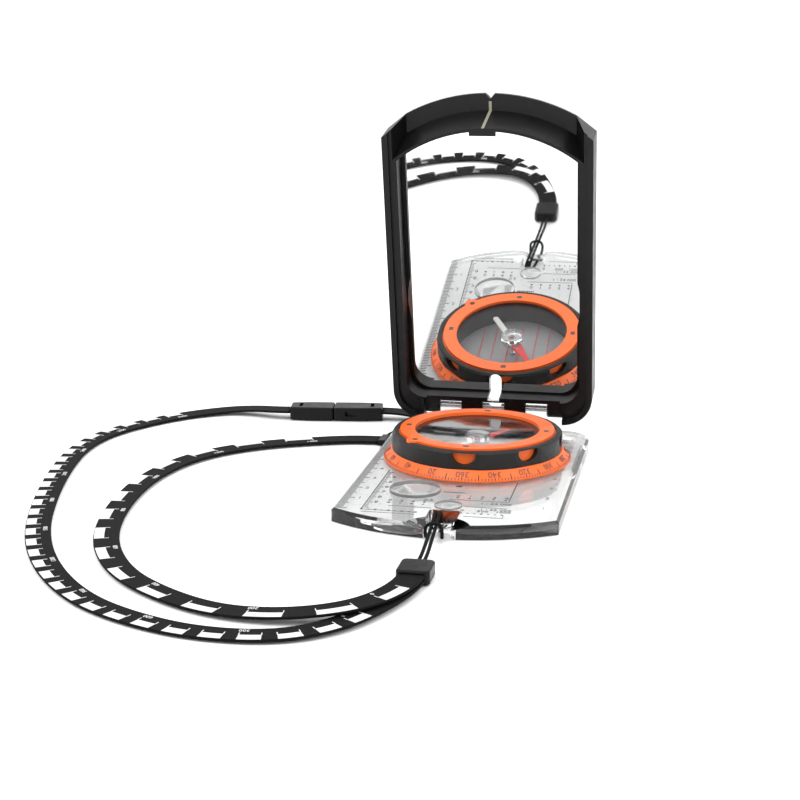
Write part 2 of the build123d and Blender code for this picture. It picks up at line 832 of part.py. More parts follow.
def flat_cord(name, points, width, thickness):
    """A flat cord that lies level along its route."""
    with BuildPart() as cord:
        with BuildLine() as route:
            FilletPolyline(*points, radius=corner_radii(points))
        start = Plane(origin=route.line @ 0, x_dir=(route.line % 0).cross(Vector(0, 0, 1)),
                      z_dir=route.line % 0)
        with BuildSketch(start):
            Rectangle(width, thickness)
        sweep(path=route.line)
    report_route(name, points, route.line, cord.part, width * thickness)
    finish(cord, name)


round_cord("loop_cord_left", loop_half(-0.35, -1.05, -2.6, -2.7), loop_diameter)
round_cord("loop_cord_right", loop_half(1.15, 0.1, -1.2, 2.0), loop_diameter)

with BuildPart() as junction_block:
    with Locations((block_x, (block_front_y + block_rear_y) / 2, 0)):
        Box(block_width, block_length, block_height, align=(Align.CENTER, Align.CENTER, Align.MIN))
    fillet(junction_block.edges().filter_by(Axis.Z), 1.6)
    fillet(junction_block.edges().group_by(Axis.Z)[-1], 0.7)
    fillet(junction_block.edges().group_by(Axis.Z)[0], 0.4)
finish(junction_block, "junction_block")

floor_z = ribbon_thickness / 2 + 0.1
inner_floor_z = floor_z + 0.2
clasp_left = Vector(-74.1, 50.3)
clasp_right = Vector(-42.2, 55.0)
clasp_along = clasp_right - clasp_left
clasp_length = clasp_along.length
clasp_cord_z = clasp_bottom_z + 0.55 * clasp_height
ferrule_front_x = -36.4
ferrule_front_y = 24.2
ferrule_rear_x = 4.0
ferrule_rear_y = 53.2
link_z = 0.75
lower_z = 1.2
upper_z = 2.5
outer_route = [
    (0.0, block_front_y, lower_z),
    (0.0, block_front_y - 5.5, lower_z),
    (-4.6, -126.5, lower_z),
    (-11.5, -139.5, lower_z - 0.1),
    (-24.0, -148.4, floor_z + 0.2),
    (-44.0, -149.2, floor_z),
    (-63.0, -142.8, floor_z),
    (-79.5, -132.5, floor_z),
    (-96.0, -113.5, floor_z),
    (-109.5, -89.0, floor_z),
    (-119.5, -60.0, floor_z),
    (-127.5, -29.0, floor_z),
    (-131.5, -4.0, floor_z),
    (-129.5, 15.0, floor_z),
    (-121.0, 31.5, floor_z),
    (-110.0, 44.8, floor_z),
    (-97.0, 52.6, floor_z + 0.5),
    (-87.0, 52.3, 1.9),
    clasp_left - clasp_along.normalized() * 5 + Vector(0, 0, clasp_cord_z),
    clasp_left + Vector(0, 0, clasp_cord_z),
]
inner_route = [
    (0.0, block_front_y, upper_z),
    (0.0, block_front_y - 5.5, upper_z),
    (-5.2, -125.0, upper_z),
    (-14.0, -133.6, upper_z),
    (-27.5, -136.7, upper_z - 0.9),
    (-43.0, -135.0, inner_floor_z + 0.1),
    (-59.0, -127.2, inner_floor_z),
    (-75.0, -114.2, inner_floor_z),
    (-87.5, -94.0, inner_floor_z),
    (-94.5, -71.0, inner_floor_z),
    (-97.8, -44.0, inner_floor_z),
    (-96.2, -21.5, inner_floor_z),
    (-89.0, -3.0, inner_floor_z),
    (-74.5, 11.2, inner_floor_z),
    (-56.0, 20.0, inner_floor_z),
    (-43.5, ferrule_front_y, inner_floor_z),
    (ferrule_front_x, ferrule_front_y, inner_floor_z),
]
flat_cord("ribbon_outer", outer_route, ribbon_width, ribbon_thickness)
flat_cord("ribbon_inner", inner_route, ribbon_width, ribbon_thickness)

# the breakaway clasp lies a little turned; its two halves meet on a rounded tongue
clasp_plane = Plane(
    origin=clasp_left + Vector(0, 0, clasp_bottom_z), x_dir=clasp_along, z_dir=(0, 0, 1)
)
split_at = clasp_length * clasp_split


def clasp_outline(plane, start, end, flare):
    """One half of the clasp in plan, narrower at the end that takes the ribbon."""
    narrow = clasp_end_width / 2
    wide = clasp_width / 2
    with BuildSketch(plane) as half:
        with BuildLine():
            Polyline(
                (start, -narrow), (start + flare, -wide), (end, -wide),
                (end, wide), (start + flare, wide), (start, narrow),
                close=True,
            )
        make_face()
    return half.sketch


with BuildPart() as clasp_socket:
    half = clasp_outline(clasp_plane, 0, split_at, clasp_length * 0.22)
    extrude(half, amount=clasp_height)
    fillet(clasp_socket.edges().filter_by(Axis.Z), 0.8)
    fillet(clasp_socket.edges().group_by(Axis.Z)[-1], 0.6)
    with BuildSketch(clasp_plane.offset(clasp_height / 2 - 0.8)):
        with Locations((split_at - tongue_length / 2, 0)):
            Rectangle(tongue_length, clasp_width * 0.55)
    extrude(amount=1.6, mode=Mode.SUBTRACT)
    with BuildSketch(clasp_plane.offset(clasp_height)):
        with Locations((clasp_groove_inset, 0)):
            Rectangle(clasp_groove_width, clasp_groove_length)
    extrude(amount=-0.7, mode=Mode.SUBTRACT)
finish(clasp_socket, "clasp_socket")

with BuildPart() as clasp_plug:
    mirrored = Plane(
        origin=clasp_right + Vector(0, 0, clasp_bottom_z), x_dir=-clasp_along, z_dir=(0, 0, 1)
    )
    half = clasp_outline(mirrored, 0, clasp_length - split_at - slide_gap, clasp_length * 0.22)
    extrude(half, amount=clasp_height)
    fillet(clasp_plug.edges().filter_by(Axis.Z), 0.8)
    fillet(clasp_plug.edges().group_by(Axis.Z)[-1], 0.6)
    with BuildSketch(clasp_plane.offset(clasp_height / 2 - 0.8 + slide_gap)):
        with Locations((split_at - tongue_length / 2 + slide_gap + 1, 0)):
            Rectangle(tongue_length - slide_gap + 2, clasp_width * 0.55 - 2 * slide_gap)
    extrude(amount=1.6 - 2 * slide_gap)
    with BuildSketch(clasp_plane.offset(clasp_height)):
        with Locations((clasp_length - clasp_groove_inset, 0)):
            Rectangle(clasp_groove_width, clasp_groove_length)
    extrude(amount=-0.7, mode=Mode.SUBTRACT)
    # the pointed slot in the front, where the catch shows
    with BuildSketch(clasp_plane.offset(clasp_height / 2 - clasp_slot_height / 2)):
        with BuildLine():
            Polyline(
                (clasp_length * 0.6, -clasp_width / 2 - 1),
                (clasp_length * 0.6, clasp_slot_depth - clasp_width / 2),
                (clasp_length * 0.6 + clasp_slot_length, -clasp_width / 2),
                (clasp_length * 0.6 + clasp_slot_length, -clasp_width / 2 - 1),
                close=True,
            )
        make_face()
    extrude(amount=clasp_slot_height, mode=Mode.SUBTRACT)
finish(clasp_plug, "clasp_plug")

rear_route = [
    clasp_right + Vector(0, 0, clasp_cord_z),
    clasp_right + clasp_along.normalized() * 5 + Vector(0, 0, clasp_cord_z),
    (-28.0, 55.4, floor_z + 0.9),
    (-15.0, 54.0, floor_z + 0.6),
    (-4.0, ferrule_rear_y, floor_z + 0.6),
    (ferrule_rear_x, ferrule_rear_y, floor_z + 0.6),
]
flat_cord("ribbon_rear", rear_route, ribbon_width, ribbon_thickness)

# behind the baseplate a thin cord joins the two ends of the ribbon through flat ferrules
link_start_x = ferrule_front_x + ferrule_length / 2
link_end_x = ferrule_rear_x + ferrule_length / 2
link_route = [
    (link_start_x, ferrule_front_y + ferrule_width / 2, link_z),
    (link_start_x, ferrule_front_y + ferrule_width / 2 + 4.0, link_z),
    (-32.0, 38.0, link_z),
    (-24.5, 41.6, link_z),
    (-14.0, 42.0, link_z),
    (-5.0, 41.2, link_z),
    (link_end_x - 2.6, 42.6, link_z),
    (link_end_x, 46.0, link_z),
    (link_end_x, ferrule_rear_y - ferrule_width / 2, link_z),
]
round_cord("link_cord", link_route, link_diameter)

for name, x, y, z in (
    ("ferrule_front", ferrule_front_x, ferrule_front_y, 0.0),
    ("ferrule_rear", ferrule_rear_x, ferrule_rear_y, 0.1),
):
    with BuildPart() as ferrule:
        with Locations((x + ferrule_length / 2, y, z)):
            Box(
                ferrule_length,
                ferrule_width,
                ferrule_height,
                align=(Align.CENTER, Align.CENTER, Align.MIN),
            )
        chamfer(ferrule.edges().group_by(Axis.Z)[-1], 0.2)
    finish(ferrule, name)
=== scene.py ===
import json
import math

import bmesh
import bpy
from bpy.props import FloatProperty, FloatVectorProperty, IntProperty, PointerProperty
from mathutils import Matrix, Vector


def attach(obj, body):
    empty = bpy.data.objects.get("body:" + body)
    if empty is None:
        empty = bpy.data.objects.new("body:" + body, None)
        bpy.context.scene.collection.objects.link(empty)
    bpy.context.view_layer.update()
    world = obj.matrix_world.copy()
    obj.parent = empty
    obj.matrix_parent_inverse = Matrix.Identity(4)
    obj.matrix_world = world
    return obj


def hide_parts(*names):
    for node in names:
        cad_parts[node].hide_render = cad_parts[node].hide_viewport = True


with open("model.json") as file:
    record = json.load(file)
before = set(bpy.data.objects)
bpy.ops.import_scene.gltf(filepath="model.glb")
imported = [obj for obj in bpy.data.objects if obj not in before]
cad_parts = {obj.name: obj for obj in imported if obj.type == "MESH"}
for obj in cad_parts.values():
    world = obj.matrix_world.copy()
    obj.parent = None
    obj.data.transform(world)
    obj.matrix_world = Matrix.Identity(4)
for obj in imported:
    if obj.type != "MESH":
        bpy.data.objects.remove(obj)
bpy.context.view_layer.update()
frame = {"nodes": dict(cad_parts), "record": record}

bl_info = {
    "name": "Sighting compass",
    "version": (1, 0, 0),
    "blender": (4, 5, 0),
    "location": "View3D > Sidebar > Compass",
    "description": "Builds a mirror sighting compass with its lanyard around a packed CAD frame",
    "category": "Object",
}

NODE_SLOTS = {row["node"]: row["material_slot"] for row in frame["record"]["subparts"]}
MM = 0.001
PLATE_TOP = 4.0
INK_HEIGHT = 0.06
DIGIT_SHARE = 0.72
FLOOR_LEVEL = -0.4
CAPSULE_PRINT_LEVEL = 3.4
RING_MARK_LEVEL = 13.15


# ---- meshes ----

def link_piece(name, mesh):
    """Puts a mesh into the scene as an object at the origin."""
    piece = bpy.data.objects.new(name, mesh)
    bpy.context.scene.collection.objects.link(piece)
    return piece


def mesh_from(name, verts, faces, finish):
    """A mesh from corners in metres, with its faces turned outwards."""
    mesh = bpy.data.meshes.new(name)
    mesh.from_pydata([tuple(v) for v in verts], [], faces)
    mesh.materials.append(finish)
    shell = bmesh.new()
    shell.from_mesh(mesh)
    bmesh.ops.recalc_face_normals(shell, faces=shell.faces)
    shell.to_mesh(mesh)
    shell.free()
    return mesh


def join_meshes(name, meshes, finish):
    """One mesh of one finish from several."""
    shell = bmesh.new()
    for mesh in meshes:
        shell.from_mesh(mesh)
        bpy.data.meshes.remove(mesh)
    joined = bpy.data.meshes.new(name)
    shell.to_mesh(joined)
    shell.free()
    joined.materials.append(finish)
    for face in joined.polygons:
        face.material_index = 0
    return joined


def box_mesh(low, high, finish):
    """A box between two corners given in millimetres."""
    xs, ys, zs = zip(low, high)
    verts = [Vector((xs[i & 1], ys[i >> 1 & 1], zs[i >> 2])) * MM for i in range(8)]
    faces = [(0, 2, 3, 1), (4, 5, 7, 6), (0, 1, 5, 4), (2, 6, 7, 3), (0, 4, 6, 2), (1, 3, 7, 5)]
    return mesh_from("box", verts, faces, finish)


def dot_mesh(x, y, radius, finish, sides=12):
    """A round ink dot on the plate, in millimetres."""
    ring = [(x + radius * math.cos(math.tau * i / sides), y + radius * math.sin(math.tau * i / sides))
            for i in range(sides)]
    verts = [Vector((u, v, z)) * MM for z in (PLATE_TOP, PLATE_TOP + INK_HEIGHT) for u, v in ring]
    faces = [tuple(range(sides)), tuple(range(sides, 2 * sides))]
    faces += [(i, (i + 1) % sides, sides + (i + 1) % sides, sides + i) for i in range(sides)]
    return mesh_from("dot", verts, faces, finish)


def number_mesh(text, height, place, finish):
    """A number as a thin mesh; place is the matrix that lays it on its surface, in metres."""
    curve = bpy.data.curves.new("number", "FONT")
    curve.body = text
    curve.size = height * MM / DIGIT_SHARE
    curve.align_x = "CENTER"
    curve.align_y = "CENTER"
    curve.extrude = 0.5 * INK_HEIGHT * MM
    curve.resolution_u = 3
    holder = bpy.data.objects.new("number", curve)
    bpy.context.scene.collection.objects.link(holder)
    bpy.context.view_layer.update()
    mesh = bpy.data.meshes.new_from_object(holder)
    bpy.data.objects.remove(holder)
    bpy.data.curves.remove(curve)
    mesh.transform(place)
    mesh.materials.clear()
    mesh.materials.append(finish)
    return mesh


def on_plate(x, y):
    """The matrix that lays something flat on the plate at x, y in millimetres."""
    return Matrix.Translation(Vector((x, y, PLATE_TOP + 0.5 * INK_HEIGHT)) * MM)


# ---- node trees that repeat a tick ----

def tick_group(name, ring):
    """A Geometry Nodes tree that repeats a thin bar round a ring or along a row."""
    tree = bpy.data.node_groups.new(name, "GeometryNodeTree")
    face = tree.interface
    sockets = [("Count", "NodeSocketInt"), ("Skip Every", "NodeSocketInt"),
               ("Skip Offset", "NodeSocketInt"), ("Tick Size", "NodeSocketVector"),
               ("Finish", "NodeSocketMaterial")]
    if ring:
        sockets += [("Radius", "NodeSocketFloat"), ("Height", "NodeSocketFloat"),
                    ("Tilt", "NodeSocketFloat"), ("First Angle", "NodeSocketFloat")]
    else:
        sockets += [("Start", "NodeSocketVector"), ("Step", "NodeSocketVector")]
    for label, kind in sockets:
        face.new_socket(label, in_out="INPUT", socket_type=kind)
    face.new_socket("Geometry", in_out="OUTPUT", socket_type="NodeSocketGeometry")

    def node(kind, **settings):
        made = tree.nodes.new(kind)
        for key, value in settings.items():
            setattr(made, key, value)
        return made

    def math_node(operation, a, b):
        made = node("ShaderNodeMath", operation=operation)
        for socket, value in zip(made.inputs, (a, b)):
            if isinstance(value, (int, float)):
                socket.default_value = value
            else:
                tree.links.new(value, socket)
        return made.outputs[0]

    given = node("NodeGroupInput").outputs
    index = node("GeometryNodeInputIndex").outputs[0]
    line = node("GeometryNodeMeshLine", mode="OFFSET")
    tree.links.new(given["Count"], line.inputs["Count"])
    points = line.outputs["Mesh"]
    turn = node("ShaderNodeCombineXYZ")
    if ring:
        line.inputs["Offset"].default_value = (0.0, 0.0, 0.0)
        share = math_node("DIVIDE", index, given["Count"])
        angle = math_node("ADD", math_node("MULTIPLY", share, math.tau), given["First Angle"])
        spot = node("ShaderNodeCombineXYZ")
        for operation, socket in (("COSINE", spot.inputs[0]), ("SINE", spot.inputs[1])):
            share_of_radius = math_node(operation, angle, 0.0)
            tree.links.new(math_node("MULTIPLY", share_of_radius, given["Radius"]), socket)
        tree.links.new(given["Height"], spot.inputs[2])
        lay = node("GeometryNodeSetPosition")
        tree.links.new(points, lay.inputs["Geometry"])
        tree.links.new(spot.outputs[0], lay.inputs["Position"])
        points = lay.outputs[0]
        tree.links.new(given["Tilt"], turn.inputs[0])
        tree.links.new(math_node("SUBTRACT", angle, 0.5 * math.pi), turn.inputs[2])
    else:
        tree.links.new(given["Start"], line.inputs["Start Location"])
        tree.links.new(given["Step"], line.inputs["Offset"])
    bar = node("GeometryNodeMeshCube")
    tree.links.new(given["Tick Size"], bar.inputs["Size"])
    copies = node("GeometryNodeInstanceOnPoints")
    shifted = math_node("ADD", index, given["Skip Offset"])
    remainder = math_node("MODULO", shifted, given["Skip Every"])
    tree.links.new(math_node("GREATER_THAN", remainder, 0.5), copies.inputs["Selection"])
    tree.links.new(points, copies.inputs["Points"])
    tree.links.new(bar.outputs["Mesh"], copies.inputs["Instance"])
    tree.links.new(turn.outputs[0], copies.inputs["Rotation"])
    real = node("GeometryNodeRealizeInstances")
    tree.links.new(copies.outputs[0], real.inputs[0])
    paint = node("GeometryNodeSetMaterial")
    tree.links.new(real.outputs[0], paint.inputs["Geometry"])
    tree.links.new(given["Finish"], paint.inputs["Material"])
    tree.links.new(paint.outputs[0], node("NodeGroupOutput").inputs[0])
    return tree


def bake_ticks(tree, **values):
    """Runs a tick tree on an empty mesh and returns the plain mesh it makes."""
    holder = link_piece("ticks", bpy.data.meshes.new("ticks"))
    repeat = holder.modifiers.new("Ticks", "NODES")
    repeat.node_group = tree
    for item in tree.interface.items_tree:
        label = item.name.replace(" ", "_").lower()
        if item.in_out == "INPUT" and label in values:
            repeat[item.identifier] = values[label]
    bpy.context.view_layer.update()
    seen = holder.evaluated_get(bpy.context.evaluated_depsgraph_get())
    mesh = bpy.data.meshes.new_from_object(seen)
    bpy.data.objects.remove(holder)
    return mesh


def tick_ring(tree, count, radius, height, size, finish, first_angle=0.0, tilt=-0.25 * math.pi,
              skip_every=0, skip_offset=0):
    """Ticks round the dial, in millimetres; skip_every leaves out every so many of them."""
    return bake_ticks(tree, count=count, radius=radius * MM, height=height * MM, tilt=tilt,
                      tick_size=[side * MM for side in size], first_angle=first_angle,
                      skip_every=skip_every or count + 1, skip_offset=skip_offset if skip_every else 1,
                      finish=finish)


def tick_row(tree, count, start, step, size, finish, skip_every=0, skip_offset=0):
    """Ticks along a straight scale, in millimetres; start is the middle of the first tick."""
    return bake_ticks(tree, count=count, start=[side * MM for side in start],
                      step=[side * MM for side in step],
                      tick_size=[side * MM for side in size], skip_every=skip_every or count + 1,
                      skip_offset=skip_offset if skip_every else 1, finish=finish)


# ---- finishes ----

def plain_finish(name, color, roughness, **sockets):
    """A Principled material; values that are the same all over go straight on the shader."""
    finish = bpy.data.materials.new(name)
    finish.use_nodes = True
    shader = finish.node_tree.nodes["Principled BSDF"]
    shader.inputs["Base Color"].default_value = (*color, 1.0)
    shader.inputs["Roughness"].default_value = roughness
    for label, value in sockets.items():
        shader.inputs[label.replace("_", " ").title().replace("Ior", "IOR")].default_value = value
    return finish


def coordinates(finish, output="Object", scale=(1.0, 1.0, 1.0)):
    """The coordinates a pattern is drawn in, stretched by scale."""
    nodes = finish.node_tree.nodes
    source = nodes.new("ShaderNodeTexCoord")
    mapping = nodes.new("ShaderNodeMapping")
    mapping.inputs["Scale"].default_value = scale
    finish.node_tree.links.new(source.outputs[output], mapping.inputs["Vector"])
    return mapping.outputs["Vector"]


def noise(finish, vector, scale, detail=3.0, roughness=0.55):
    """A noise pattern's value."""
    made = finish.node_tree.nodes.new("ShaderNodeTexNoise")
    made.inputs["Scale"].default_value = scale
    made.inputs["Detail"].default_value = detail
    made.inputs["Roughness"].default_value = roughness
    finish.node_tree.links.new(vector, made.inputs["Vector"])
    return made.outputs["Fac"]


def add_bump(finish, pattern, strength, distance):
    """Raises the surface by a pattern."""
    tree = finish.node_tree
    shader = tree.nodes["Principled BSDF"]
    bump = tree.nodes.new("ShaderNodeBump")
    bump.inputs["Strength"].default_value = strength
    bump.inputs["Distance"].default_value = distance
    tree.links.new(pattern, bump.inputs["Height"])
    tree.links.new(bump.outputs["Normal"], shader.inputs["Normal"])


def add_color_change(finish, pattern, color_low, color_high, low=0.3, high=0.7):
    """Colour that runs between two by a pattern."""
    tree = finish.node_tree
    ramp = tree.nodes.new("ShaderNodeValToRGB")
    ramp.color_ramp.elements[0].position = low
    ramp.color_ramp.elements[1].position = high
    ramp.color_ramp.elements[0].color = (*color_low, 1.0)
    ramp.color_ramp.elements[1].color = (*color_high, 1.0)
    tree.links.new(pattern, ramp.inputs["Fac"])
    tree.links.new(ramp.outputs["Color"], tree.nodes["Principled BSDF"].inputs["Base Color"])


def add_gloss_change(finish, pattern, low, high):
    """Roughness that runs between two values by a pattern."""
    tree = finish.node_tree
    spread = tree.nodes.new("ShaderNodeMapRange")
    spread.inputs["From Min"].default_value = 0.3
    spread.inputs["From Max"].default_value = 0.7
    spread.inputs["To Min"].default_value = low
    spread.inputs["To Max"].default_value = high
    tree.links.new(pattern, spread.inputs["Value"])
    tree.links.new(spread.outputs["Result"], tree.nodes["Principled BSDF"].inputs["Roughness"])


def moulded_plastic(name, color, roughness, grain=0.06, grain_size=0.0004, shade=0.85, **sockets):
    """Moulded plastic: fine grain, a little unevenness of colour and gloss."""
    finish = plain_finish(name, color, roughness, **sockets)
    vector = coordinates(finish)
    add_bump(finish, noise(finish, vector, 1.0 / grain_size, 4.0), grain, 0.0001)
    clouds = noise(finish, vector, 90.0, 3.0)
    add_color_change(finish, clouds, tuple(shade * c for c in color), color)
    add_gloss_change(finish, noise(finish, vector, 260.0, 2.0), roughness * 0.85, roughness * 1.15)
    return finish


def clear_plastic(name, tint, roughness, ior, waviness=0.003):
    """Clear cast plastic with faint polishing marks."""
    finish = plain_finish(name, tint, roughness, transmission_weight=1.0, ior=ior)
    vector = coordinates(finish)
    add_bump(finish, noise(finish, vector, 60.0, 1.0), waviness, 0.0001)
    add_gloss_change(finish, noise(finish, vector, 900.0, 2.0), roughness * 0.5, roughness * 1.5)
    return finish


def rimmed_plastic(name, face_alpha, rim_alpha):
    """Thin clear plastic with a painted grey shade on its rim: its upright walls are painted dark grey and are
    denser than its flat faces, standing in for the darkness that light bent at the rim gives.
    """
    finish = plain_finish(name, (0.6, 0.6, 0.6), 0.04)
    tree = finish.node_tree
    shader = tree.nodes["Principled BSDF"]
    split = tree.nodes.new("ShaderNodeSeparateXYZ")
    tree.links.new(coordinates(finish, "Normal"), split.inputs[0])
    level = tree.nodes.new("ShaderNodeMath")
    level.operation = "ABSOLUTE"
    tree.links.new(split.outputs["Z"], level.inputs[0])
    for socket, low, high in (("Alpha", rim_alpha, face_alpha), ("Roughness", 0.12, 0.03)):
        spread = tree.nodes.new("ShaderNodeMapRange")
        spread.inputs["To Min"].default_value = low
        spread.inputs["To Max"].default_value = high
        tree.links.new(level.outputs[0], spread.inputs["Value"])
        tree.links.new(spread.outputs["Result"], shader.inputs[socket])
    # painted shade: dark grey on upright walls, pale on flat faces, by how far the normal turns upwards
    add_color_change(finish, level.outputs[0], (0.12, 0.12, 0.125), (0.85, 0.86, 0.86), 0.1, 0.9)
    return finish


def metal(name, color, roughness):
    """Turned metal with fine lines."""
    finish = plain_finish(name, color, roughness, metallic=1.0)
    vector = coordinates(finish, scale=(1.0, 1.0, 6.0))
    add_bump(finish, noise(finish, vector, 900.0, 2.0), 0.08, 0.0001)
    add_gloss_change(finish, noise(finish, vector, 300.0, 2.0), roughness * 0.7, roughness * 1.4)
    return finish


def ink(name, color, roughness=0.5):
    """Printed ink, slightly patchy."""
    finish = plain_finish(name, color, roughness)
    vector = coordinates(finish)
    paler = tuple(min(1.0, c + 0.05) for c in color)
    add_color_change(finish, noise(finish, vector, 1500.0, 2.0), color, paler)
    add_bump(finish, noise(finish, vector, 2500.0, 2.0), 0.05, 0.0001)
    return finish


def woven_finish(name, color, along, across):
    """Woven black fabric on a piece whose UV map runs along (metres) and across (metres)."""
    finish = plain_finish(name, color, 0.75, specular_ior_level=0.12)
    tree = finish.node_tree
    vector = coordinates(finish, "UV")
    threads = []
    for direction, pitch in (("X", along), ("Y", across)):
        wave = tree.nodes.new("ShaderNodeTexWave")
        wave.bands_direction = direction
        wave.inputs["Scale"].default_value = 1.0 / (3.2 * pitch)
        wave.inputs["Distortion"].default_value = 0.4
        wave.inputs["Detail"].default_value = 1.0
        tree.links.new(vector, wave.inputs["Vector"])
        threads.append(wave.outputs["Fac"])
    both = tree.nodes.new("ShaderNodeMath")
    both.operation = "MULTIPLY"
    for thread, socket in zip(threads, both.inputs):
        tree.links.new(thread, socket)
    add_bump(finish, both.outputs[0], 0.5, 0.00015)
    gap, thread = tuple(0.45 * c for c in color), tuple(1.6 * c for c in color)
    add_color_change(finish, both.outputs[0], gap, thread, 0.1, 0.9)
    return finish


FINISHES = {}


def make_finishes(settings):
    """Every finish of the compass, by the record's slot or by its own name."""
    look = settings.colors
    orange = tuple(look.orange)
    made = {
        "clear": clear_plastic("clear_plastic", (0.97, 0.975, 0.975), 0.015, 1.49),
        # the lens and the orienting disc get painted shade on their upright walls
        "lens": rimmed_plastic("lens_plastic", 0.12, 0.9),
        "capsule_glass": clear_plastic("capsule_window", (0.97, 0.97, 0.97), 0.01, 1.22, 0.0005),
        "disc_clear": rimmed_plastic("disc_plastic", 0.12, 0.5),
        "white_print": ink("index_ink", (0.03, 0.03, 0.035)),
        "olive_print": ink("sight_line_paint", (0.20, 0.19, 0.13)),
        "pin_steel": metal("pin_steel", (0.55, 0.55, 0.56), 0.25),
        "cord_black": moulded_plastic("cord_black", (0.004, 0.004, 0.004), 0.75, 0.6, 0.0005,
                                      specular_ior_level=0.12),
        "ribbon_black": woven_finish("ribbon_weave", tuple(look.ribbon), 0.0006, 0.0005),
        "black_rubbery": moulded_plastic("block_rubber", (0.003, 0.003, 0.003), 0.34, 0.12, 0.0008,
                                         specular_ior_level=0.14),
        "clasp_black": moulded_plastic("clasp_plastic", (0.003, 0.003, 0.003), 0.36, 0.12, 0.0006,
                                       specular_ior_level=0.16),
        "lid_black": moulded_plastic("lid_plastic", tuple(look.lid), 0.36, 0.12, 0.0005, 0.7,
                                     specular_ior_level=0.22),
        "mirror_glass": plain_finish("mirror_silver", (0.92, 0.93, 0.93), 0.02, metallic=1.0),
        "orange": moulded_plastic("dial_orange", orange, 0.42, 0.10, 0.0004, 0.93),
        "grip_black": moulded_plastic("grip_rubber", (0.016, 0.0155, 0.015), 0.5, 0.3, 0.0005, 0.7,
                                      specular_ior_level=0.25),
        "capsule_grey": moulded_plastic("capsule_wall_grey", (0.06, 0.06, 0.065), 0.4),
        "floor_grey": moulded_plastic("capsule_floor_grey", (0.36, 0.36, 0.37), 0.5),
        "screw_brass": metal("screw_dark", (0.10, 0.085, 0.07), 0.3),
        "needle_red": moulded_plastic("needle_red", (0.80, 0.03, 0.03), 0.35),
        "needle_white": moulded_plastic("needle_white", (0.8, 0.8, 0.78), 0.4),
        "jewel_red": moulded_plastic("jewel_red", (0.35, 0.02, 0.04), 0.12),
        "black_ink": ink("black_ink", (0.02, 0.02, 0.022)),
        "grey_ink": ink("grey_ink", (0.13, 0.13, 0.135)),
        "white_ink": ink("white_ink", (0.62, 0.62, 0.61)),
        "red_ink": ink("red_ink", (0.70, 0.05, 0.06)),
        "dial_ink": ink("dial_ink", (0.035, 0.018, 0.012)),
    }
    polish = made["mirror_glass"]
    add_gloss_change(polish, noise(polish, coordinates(polish), 60.0, 2.0), 0.005, 0.03)
    FINISHES.update(made)


def dress(*nodes):
    """Gives CAD nodes their own finish, or else that of their slot in the record."""
    for name in nodes:
        finish = FINISHES.get(name) or FINISHES[NODE_SLOTS[name]]
        piece = frame["nodes"][name]
        if not piece.material_slots:
            piece.data.materials.append(finish)
        for place in piece.material_slots:
            place.material = finish


# ---- settings ----

class CompassColors(bpy.types.PropertyGroup):
    orange: FloatVectorProperty(name="Dial orange", description="Colour of the dial", subtype="COLOR", size=3,
                                default=(0.86, 0.125, 0.006), min=0.0, max=1.0)
    lid: FloatVectorProperty(name="Lid black", description="Colour of the lid's plastic", subtype="COLOR", size=3,
                             default=(0.0045, 0.0045, 0.0045), min=0.0, max=1.0)
    ribbon: FloatVectorProperty(name="Ribbon black", description="Colour of the woven ribbons", subtype="COLOR",
                                size=3, default=(0.004, 0.004, 0.0042), min=0.0, max=1.0)


class CompassLanyard(bpy.types.PropertyGroup):
    cord_diameter: FloatProperty(name="Cord diameter", description="Diameter of the loop cords", default=1.0 * MM,
                                 min=0.2 * MM, unit="LENGTH", precision=5)
    ribbon_width: FloatProperty(name="Ribbon width", description="Width of the woven ribbons", default=7.2 * MM,
                                min=1.0 * MM, unit="LENGTH", precision=5)
    ribbon_thickness: FloatProperty(name="Ribbon thickness", description="Thickness of the woven ribbons",
                                    default=0.8 * MM, min=0.1 * MM, unit="LENGTH", precision=5)
    outer_pitch: FloatProperty(name="Outer scale pitch", description="Distance between the outer ribbon's blocks",
                               default=9.0 * MM, min=2.0 * MM, unit="LENGTH", precision=5)
    inner_pitch: FloatProperty(name="Inner scale pitch", description="Distance between the inner ribbon's blocks",
                               default=16.8 * MM, min=2.0 * MM, unit="LENGTH", precision=5)


class CompassDial(bpy.types.PropertyGroup):
    number_step: IntProperty(name="Number step", description="Degrees between two numbers on the dial", default=20,
                             min=10, max=90)
    number_height: FloatProperty(name="Number height", description="Height of the dial's numbers",
                                 default=2.0 * MM, min=0.5 * MM, unit="LENGTH", precision=5)
    fine_ticks: IntProperty(name="Fine ticks", description="Ticks round the whole dial", default=180, min=36)


class CompassPlate(bpy.types.PropertyGroup):
    line_width: FloatProperty(name="Line width", description="Width of the printed frame lines", default=0.34 * MM,
                              min=0.05 * MM, unit="LENGTH", precision=5)
    tick_width: FloatProperty(name="Tick width", description="Width of the ruler's ticks", default=0.42 * MM,
                              min=0.05 * MM, unit="LENGTH", precision=5)
    number_height: FloatProperty(name="Number height", description="Height of the plate's small numbers",
                                 default=1.9 * MM, min=0.5 * MM, unit="LENGTH", precision=5)


class CompassStage(bpy.types.PropertyGroup):
    floor_size: FloatProperty(name="Floor size", description="Side of the square floor", default=60.0, min=1.0,
                              unit="LENGTH")
    world_strength: FloatProperty(name="Surround light", description="Strength of the white surroundings",
                                  default=1.1, min=0.0)
    key_power: FloatProperty(name="Key light", description="Power of the large soft light", default=6.0, min=0.0,
                             unit="POWER")


class CompassSettings(bpy.types.PropertyGroup):
    colors: PointerProperty(type=CompassColors, name="Colours", description="Main colours")
    lanyard: PointerProperty(type=CompassLanyard, name="Lanyard", description="Sizes of the cords and ribbons")
    dial: PointerProperty(type=CompassDial, name="Dial", description="Sizes of the dial's marks")
    plate: PointerProperty(type=CompassPlate, name="Baseplate", description="Sizes of the plate's print")
    stage: PointerProperty(type=CompassStage, name="Stage", description="Floor and light")


# ---- cords ----

